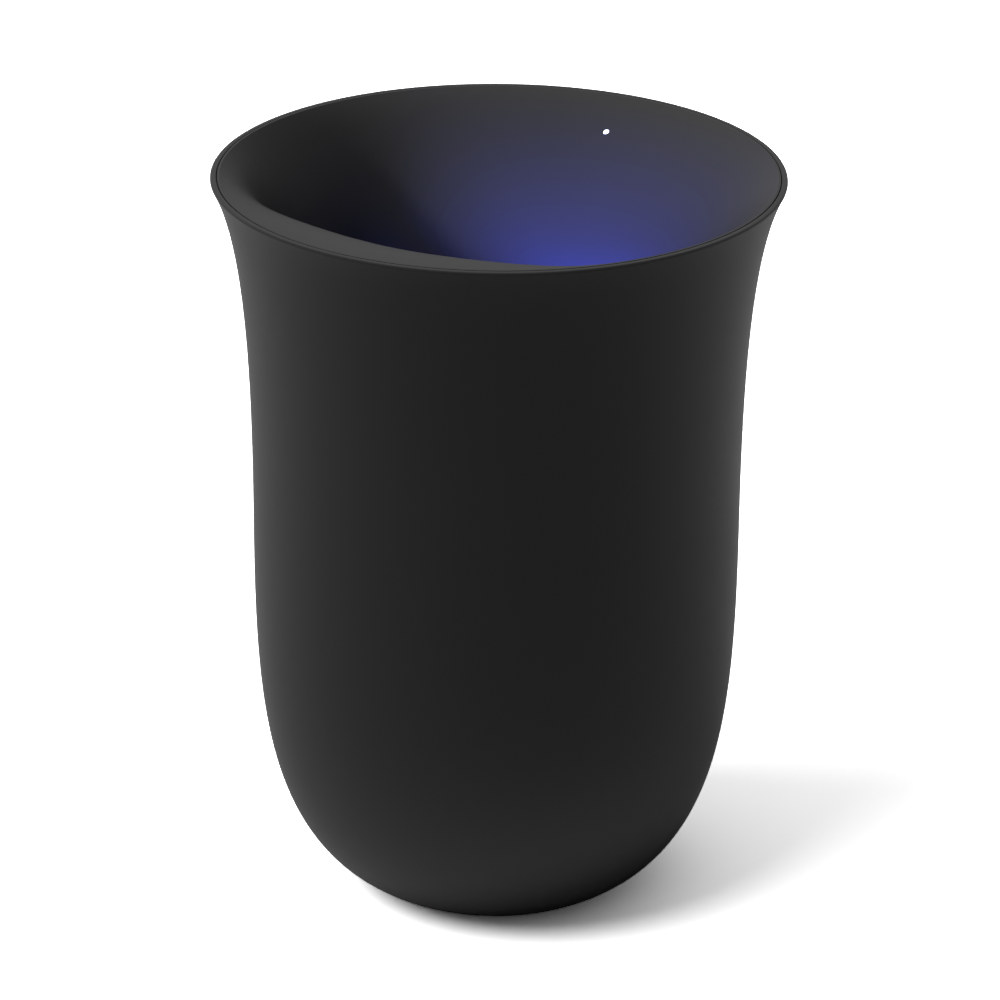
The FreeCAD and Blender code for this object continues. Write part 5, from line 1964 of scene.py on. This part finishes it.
@dataclass
class Electronics:
    """Main board with its chips, choke, capacitors and screws."""

    chip_edge: float = 0.12
    chip_sides: int = 4
    controller_terminals: int = 7
    charger_terminals: int = 6
    terminal_width: float = 0.35
    terminal_length: float = 0.5
    terminal_height: float = 0.25
    terminal_edge: float = 0.05
    terminal_bend: float = 0.8
    terminal_step: float = 0.8
    can_count: int = 3
    can_step: float = 7.5
    can_radius: float = 3.0
    can_height: float = 6.8
    can_sink: float = 0.1
    can_foot_round: float = 0.2
    can_top_round: float = 0.5
    can_segments: int = 48
    crimp_depth: float = 0.35
    crimp_rise: float = 1.0
    crimp_half: float = 0.4
    crimp_edge: float = 0.15
    crimp_round: float = 0.2
    lid_start: float = 0.7
    lid_end: float = 0.8
    lid_depth: float = 0.12
    lid_edge: float = 0.1
    lid_round: float = 0.05
    foot_height: float = 0.9
    foot_corner: float = 0.8
    foot_edge: float = 0.1
    foot_bevel: float = 0.15
    screw_count: int = 2
    screw_circle: float = 24.0

    def build_chip(self, name: str, node: str, terminals: int) -> None:
        """Mould a chip and set a row of terminals along each of its sides.

        Args:
            name: Name of the piece.
            node: Packed chip.
            terminals: Number of terminals on a side.
        """
        middle, half = middle_and_half(node)
        edge = self.chip_edge
        body = Section(half.x, half.y, edge, Facing.UP, SMALL_CORNER_STEPS, even_corner=True)
        rings = body.rings([
            (2 * edge, edge / 2 - half.z),
            (edge, 0.0),
            (2 * edge, half.z - edge),
            (3 * edge, half.z),
        ], middle)
        show(name, lofted(name, rings, CHIP), Slot.CHIP, node)
        foot = Section(self.terminal_length / 2, self.terminal_width / 2, self.terminal_edge, Facing.UP,
                       TINY_CORNER_STEPS, even_corner=True)
        terminal = lofted("terminal", foot.rings([
            (0.0, 0.0),
            (0.0, self.terminal_height * self.terminal_bend),
            (self.terminal_edge, self.terminal_height),
        ]))
        side = copied(name + "_side", terminal, CAN, terminals, Vector(),
                      step=Vector((0.0, self.terminal_step, 0.0)))
        reach = half.x - self.terminal_length / 2
        seat = Vector((middle.x, middle.y, span_of(node)[0].z))
        feet = copied(name + "_terminals", side, CAN, self.chip_sides, seat, circle=reach)
        show(name + "_terminals", feet, Slot.CAN)

    def can(self) -> Mesh:
        """Turn a capacitor can with its crimp and sunk lid.

        Returns:
            Closed mesh round the upright axis.
        """
        top, radius = self.can_height, self.can_radius
        start = self.foot_height - self.can_sink
        crimp = self.foot_height + self.crimp_rise
        lid = top - self.lid_depth
        form = Profile()
        form.corner(0.0, start).corner(radius, start, self.can_foot_round)
        form.corner(radius, crimp - self.crimp_half, self.crimp_edge)
        form.corner(radius - self.crimp_depth, crimp, self.crimp_round)
        form.corner(radius, crimp + self.crimp_half, self.crimp_edge).corner(radius, top, self.can_top_round)
        form.corner(radius - self.lid_start, top, self.lid_edge)
        form.corner(radius - self.lid_end, lid, self.lid_round).corner(0.0, lid)
        return form.turned("can", CAN, self.can_segments, closed=False)

    def build_cans(self) -> None:
        """Set the capacitor cans on their bases."""
        low, high = span_of("capacitors")
        seat = (low + high) / 2
        seat.z = low.z
        step = Vector((self.can_step, 0.0, 0.0))
        cans = copied("capacitor_cans", self.can(), CAN, self.can_count, seat, step=step)
        show("capacitor_cans", cans, Slot.CAN, "capacitors")
        foot = Section(self.can_radius, self.can_radius, self.foot_corner, Facing.UP, SMALL_CORNER_STEPS,
                       even_corner=True)
        base = lofted("can_base", foot.rings([
            (self.foot_edge, 0.0),
            (0.0, self.foot_edge),
            (0.0, self.foot_height - self.foot_bevel),
            (self.foot_bevel, self.foot_height),
        ]))
        bases = copied("capacitor_bases", base, CHIP, self.can_count, seat, step=step)
        show("capacitor_bases", bases, Slot.CHIP)

    def build(self) -> None:
        """Dress the board and build the parts on it."""
        dress("main_board", MASK_DARK)
        dress("power_choke", FERRITE)
        self.build_chip("controller_package", "controller_chip", self.controller_terminals)
        self.build_chip("charger_package", "charger_chip", self.charger_terminals)
        self.build_cans()
        seat = middle_of("board_screws")
        seat.z = span_of("main_board")[0].z
        set_screws("board_fixings", "board_screws", SMALL_SCREW, self.screw_count, seat, self.screw_circle)


# Leads


@dataclass
class Leads:
    """Twisted pairs from the lamp, the coil and the status board down to three sockets."""

    wire_radius: float = 0.48
    lead_radius: float = 1.0
    lay: float = 8.0
    curve_steps: int = 24
    uv_x: float = 12.0
    coil_x: float = 9.0
    status_x: float = -12.5
    socket_side: float = 6.0
    stub: float = 6.0
    near: float = 9.0
    coil_reach: float = 8.0
    status_drop: float = 3.0

    def pair(self, name: str, node: str, points: list[Vector]) -> None:
        """Twist a pair of wires along a route.

        Args:
            name: Name of the piece.
            node: Packed lead that it stands for.
            points: Control points of the route.
        """
        data = bpy.data.curves.new(name, "CURVE")
        data.dimensions = "3D"
        data.resolution_u = self.curve_steps
        spline = data.splines.new("NURBS")
        spline.points.add(len(points) - 1)
        for control, point in zip(spline.points, points):
            control.co = (*(point * MM), 1.0)
        spline.order_u = 3
        spline.use_endpoint_u = True
        mesh = grown(name, pair_tree(), {
            "Route": data,
            "Wire Radius": self.wire_radius * MM,
            "Lay": self.lay * MM,
            "Second Finish": JACKET_RED.material(),
            "Finish": JACKET_BLACK.material(),
        })
        show(name, tidied(mesh, STRAND_CREASE), Slot.LEAD, node)

    def build(self) -> None:
        """Dress the sockets and run the three leads."""
        dress("lead_sockets", NYLON)
        sockets = span_of("lead_sockets")[1]
        entry = sockets.z
        rear = sockets.y - self.socket_side / 2
        low, high = span_of("uv_lead")
        back = low.y + self.lead_radius
        level = low.z + self.lead_radius
        self.pair("lamp_wires", "uv_lead", [
            Vector((self.uv_x, back, high.z)),
            Vector((self.uv_x, back, level + self.near)),
            Vector((self.uv_x, back, level)),
            Vector((self.uv_x, high.y, level)),
        ])
        lean = math.radians(ChargingCoil.recline)
        out = Vector((0.0, math.cos(lean), -math.sin(lean)))
        low, high = span_of("coil_lead")
        start = Vector((self.coil_x, low.y + self.lead_radius * math.sin(lean),
                        high.z - self.lead_radius * math.cos(lean)))
        corner = start + out * self.coil_reach
        self.pair("coil_wires", "coil_lead", [
            start,
            corner,
            Vector((self.coil_x, rear, entry + self.stub)),
            Vector((self.coil_x, rear, entry)),
        ])
        low, high = span_of("status_lead")
        outer = high.y - self.lead_radius
        self.pair("status_wires", "status_lead", [
            Vector((self.status_x, outer, high.z)),
            Vector((self.status_x, outer, high.z - self.status_drop)),
            Vector((self.status_x, rear, corner.z)),
            Vector((self.status_x, rear, entry)),
        ])


# Studio


@dataclass
class Studio:
    """Camera, floor and light, set to the photograph's view."""

    azimuth: float = 30.0
    elevation: float = 23.2
    distance: float = 1.1593
    lens: float = 180.0
    sensor_width: float = 36.0
    clip_start: float = 0.05
    rise: float = 0.0066
    aside: float = 0.0008
    roll: float = 0.45
    paper: float = 1.0
    dim: float = 0.1
    bright: float = 0.65
    bright_lift: float = 35.0
    bright_aside: float = 30.0
    tone_power: float = 1.3
    soft_share: float = 0.9
    key_strength: float = 2.2
    key_angle: float = 45.0
    key_aside: float = 0.75
    key_forward: float = 0.35
    mouth_strength: float = 5.2
    mouth_angle: float = 6.0
    mouth_lift: float = 31.0
    mouth_turn: float = 10.0
    floor_reach: float = 6.0
    floor_tint: float = 0.8
    floor_gain: float = 2.65
    # Painted reflection: the floor as mirrors see it, brighter behind the station
    floor_bright: float = 0.9
    floor_aside: float = 5.0
    # Painted shade: mirrors see the floor darker near the station
    mirrored_shade_level: float = 0.6
    mirrored_shade_near: float = 0.04
    mirrored_shade_far: float = 0.16
    # Painted contact shadow on the floor as mirrors see it, set off to the camera's right
    painted_contact_shadow_level: float = 0.0
    painted_contact_shadow_near: float = 0.03
    painted_contact_shadow_far: float = 0.058
    painted_contact_shadow_aside: float = 0.012

    def directions(self) -> tuple[Vector, Vector, Vector]:
        """Work out the camera's directions.

        Returns:
            Unit directions to the right, up and back.
        """
        turn = math.radians(self.azimuth)
        lift = math.radians(self.elevation)
        back = Vector((math.sin(turn) * math.cos(lift), -math.cos(turn) * math.cos(lift), math.sin(lift)))
        right = Vector((math.cos(turn), math.sin(turn), 0.0))
        return right, back.cross(right), back

    def level_directions(self) -> tuple[Vector, Vector]:
        """Return the level directions to the camera's right and straight ahead of it."""
        right, _, back = self.directions()
        return right, Vector((-back.x, -back.y, 0.0)).normalized()

    def add_camera(self) -> None:
        """Set the camera where the photograph was taken from."""
        right, up, back = self.directions()
        centre = (CAD_BOX[0] + CAD_BOX[1]) / 2
        data = bpy.data.cameras.new("camera")
        data.lens = self.lens
        data.sensor_width = self.sensor_width
        data.clip_start = self.clip_start
        camera = add_object("camera", data)
        place = centre + back * self.distance
        target = centre + up * self.rise + right * self.aside
        look = (target - place).to_track_quat("-Z", "Y").to_matrix().to_4x4()
        roll = Matrix.Rotation(math.radians(self.roll), 4, "Z")
        camera.matrix_world = Matrix.Translation(place) @ look @ roll
        bpy.context.scene.camera = camera

    def tone_group(self) -> NodeTree:
        """Build the studio's tone by direction: bright behind and above, dim in front.

        Returns:
            Group with inputs Direction, Brightest and Bright, and output Tone.
        """
        group = new_tree("studio_tone", "ShaderNodeTree", {
            "Direction": ("NodeSocketVector", (0.0, 0.0, 1.0)),
            "Brightest": ("NodeSocketVector", (0.0, 0.0, 1.0)),
            "Bright": ("NodeSocketFloat", 1.0),
        }, {"Tone": "NodeSocketFloat"})
        given = group.nodes["Group Input"].outputs
        unit = calc_vector(group, "NORMALIZE", given["Direction"])
        facing = calc_vector(group, "DOT_PRODUCT", unit, given["Brightest"])
        share = calc(group, "POWER", calc(group, "MULTIPLY_ADD", facing, 0.5, 0.5), self.tone_power)
        spread = calc(group, "SUBTRACT", given["Bright"], self.dim)
        tone = calc(group, "MULTIPLY_ADD", share, spread, self.dim)
        fill(group, group.nodes["Group Output"], {"Tone": tone})
        return group

    def brightest(self, aside: float) -> Vector:
        """Return the direction of the studio's brightest part.

        Args:
            aside: Turn to the left of straight behind the station, in degrees.

        Returns:
            Unit direction.
        """
        right, ahead = self.level_directions()
        turn = math.radians(aside)
        lift = math.radians(self.bright_lift)
        level = ahead * math.cos(turn) - right * math.sin(turn)
        return level * math.cos(lift) + Vector((0.0, 0.0, math.sin(lift)))

    def mixed(self, tree: NodeTree, factor: Socket, plain: object, other: object) -> Socket:
        """Add a level to a tree that goes from a plain one to another with a factor."""
        return add_node(tree, "ShaderNodeMix", {"Factor": factor, "A": plain, "B": other}).outputs["Result"]

    def eased(self, tree: NodeTree, place: Socket, near: float, far: float, inner: float,
              outer: object = 1.0) -> Socket:
        """Add a level to a tree that eases from one value to another with the distance from the middle.

        Args:
            tree: Node tree.
            place: Place as seen from the middle.
            near: Distance where the easing starts.
            far: Distance where it ends.
            inner: Level up to the start.
            outer: Level from the end on.

        Returns:
            Socket of the level.
        """
        ease = add_node(tree, "ShaderNodeMapRange", {
            "Value": calc_vector(tree, "LENGTH", place),
            "From Min": near,
            "From Max": far,
            "To Min": inner,
            "To Max": outer,
        }, interpolation_type="SMOOTHSTEP")
        return ease.outputs["Result"]

    def add_floor(self, tone: NodeTree) -> None:
        """Lay a pale floor that keeps the station's shadow. What mirrors see of it is painted: the studio's
        tone, brighter behind the station, painted shade near the station and a painted contact shadow round
        its foot.

        Args:
            tone: Group that gives the studio's tone by direction.
        """
        reach = self.floor_reach
        data = bpy.data.meshes.new("floor")
        corners = [(-reach, -reach, 0), (reach, -reach, 0), (reach, reach, 0), (-reach, reach, 0)]
        data.from_pydata(corners, [], [(0, 1, 2, 3)])
        floor = add_object("floor", data)
        made = bpy.data.materials.new("pale_floor")
        made.use_nodes = True
        tree = made.node_tree
        tree.nodes.clear()
        place = add_node(tree, "ShaderNodeTexCoord").outputs["Object"]
        path = add_node(tree, "ShaderNodeLightPath").outputs
        # Painted reflection: mirrors see the floor in the studio's tone, brighter behind the station
        shade = add_node(tree, "ShaderNodeGroup", {
            "Direction": place,
            "Brightest": self.brightest(self.floor_aside),
            "Bright": self.floor_bright,
        }, node_tree=tone)
        # Painted shade: mirrors see the floor darker near the station, easing out to the tone further off
        mirrored_shade = self.eased(tree, place, self.mirrored_shade_near, self.mirrored_shade_far, self.mirrored_shade_level, shade.outputs["Tone"])
        right = self.directions()[0]
        # Painted contact shadow: mirrors see the floor black round the foot, set off to the camera's right
        painted_shadow_middle = calc_vector(tree, "SUBTRACT", place, right * self.painted_contact_shadow_aside)
        contact = self.eased(tree, painted_shadow_middle, self.painted_contact_shadow_near, self.painted_contact_shadow_far, self.painted_contact_shadow_level)
        # Floor level for mirrors, with the painted shade and painted contact shadow in it
        mirrored_floor_shade = calc(tree, "MULTIPLY", mirrored_shade, contact)
        level = self.mixed(tree, path["Is Glossy Ray"], self.floor_gain, mirrored_floor_shade)
        seen = add_node(tree, "ShaderNodeBsdfDiffuse", {"Color": level})
        tint = (self.floor_tint, self.floor_tint, self.floor_tint, 1.0)
        plain = add_node(tree, "ShaderNodeBsdfDiffuse", {"Color": tint})
        mix = add_node(tree, "ShaderNodeMixShader", {
            0: path["Is Diffuse Ray"],
            1: seen.outputs["BSDF"],
            2: plain.outputs["BSDF"],
        })
        add_node(tree, "ShaderNodeOutputMaterial", {"Surface": mix.outputs["Shader"]})
        data.materials.append(made)

    def add_sun(self, name: str, strength: float, angle: float, towards: Vector) -> Piece:
        """Add a far light that no mirror shows.

        Args:
            name: Name of the light.
            strength: Strength of the light.
            angle: Width of the light as seen from the station, in degrees.
            towards: Direction in which the light falls.

        Returns:
            The light.
        """
        data = bpy.data.lights.new(name, "SUN")
        data.energy = strength
        data.angle = math.radians(angle)
        light = add_object(name, data)
        light.rotation_mode = "QUATERNION"
        light.rotation_quaternion = towards.to_track_quat("-Z", "Y")
        light.visible_glossy = False
        return light

    def add_key(self) -> None:
        """Hang a broad soft light above and to the left."""
        right, ahead = self.level_directions()
        towards = right * self.key_aside + ahead * self.key_forward - Vector((0.0, 0.0, 1.0))
        self.add_sun("key", self.key_strength, self.key_angle, towards)

    def add_mouth_light(self) -> None:
        """Reach into the mouth from the left with a narrower light that falls on the liner alone."""
        right, ahead = self.level_directions()
        turn = math.radians(self.mouth_turn)
        lift = math.radians(self.mouth_lift)
        level = right * math.cos(turn) + ahead * math.sin(turn)
        towards = level * math.cos(lift) - Vector((0.0, 0.0, math.sin(lift)))
        light = self.add_sun("mouth_light", self.mouth_strength, self.mouth_angle, towards)
        lit = bpy.data.collections.new("lit_by_mouth_light")
        lit.objects.link(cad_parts["inner_liner"])
        light.light_linking.receiver_collection = lit

    def add_surround(self, tone: NodeTree) -> None:
        """Surround the station with the studio's tone, white where the camera looks straight at it.

        Args:
            tone: Group that gives the studio's tone by direction.
        """
        world = bpy.data.worlds.new("surround")
        bpy.context.scene.world = world
        world.use_nodes = True
        tree = world.node_tree
        path = add_node(tree, "ShaderNodeLightPath").outputs
        shade = add_node(tree, "ShaderNodeGroup", {
            "Direction": add_node(tree, "ShaderNodeTexCoord").outputs["Generated"],
            "Brightest": self.brightest(self.bright_aside),
            "Bright": self.bright,
        }, node_tree=tone)
        soft = calc(tree, "MULTIPLY", shade.outputs["Tone"], self.soft_share)
        level = self.mixed(tree, path["Is Glossy Ray"], soft, shade.outputs["Tone"])
        straight = calc(tree, "MAXIMUM", path["Is Camera Ray"], path["Is Transmission Ray"])
        fill(tree, tree.nodes["Background"], {
            "Color": (1.0, 1.0, 1.0, 1.0),
            "Strength": self.mixed(tree, straight, level, self.paper),
        })

    def build(self) -> None:
        """Set up view, floor and light."""
        self.add_camera()
        tone = self.tone_group()
        self.add_floor(tone)
        self.add_key()
        self.add_mouth_light()
        self.add_surround(tone)
        bpy.context.scene.view_settings.view_transform = "Standard"


def main() -> None:
    """Build the station's looks in order."""
    logging.basicConfig(level=logging.INFO)
    shell = OuterShell()
    assemblies = (shell, PhoneWell(), Base(), StartControl(shell), PowerInlet(), SanitizingLamp(),
                  StatusLight(), ChargingCoil(), Electronics(), Leads(), Studio())
    for assembly in assemblies:
        assembly.build()
        log.info("built %s", type(assembly).__name__)


if __name__ == "__main__":
    main()
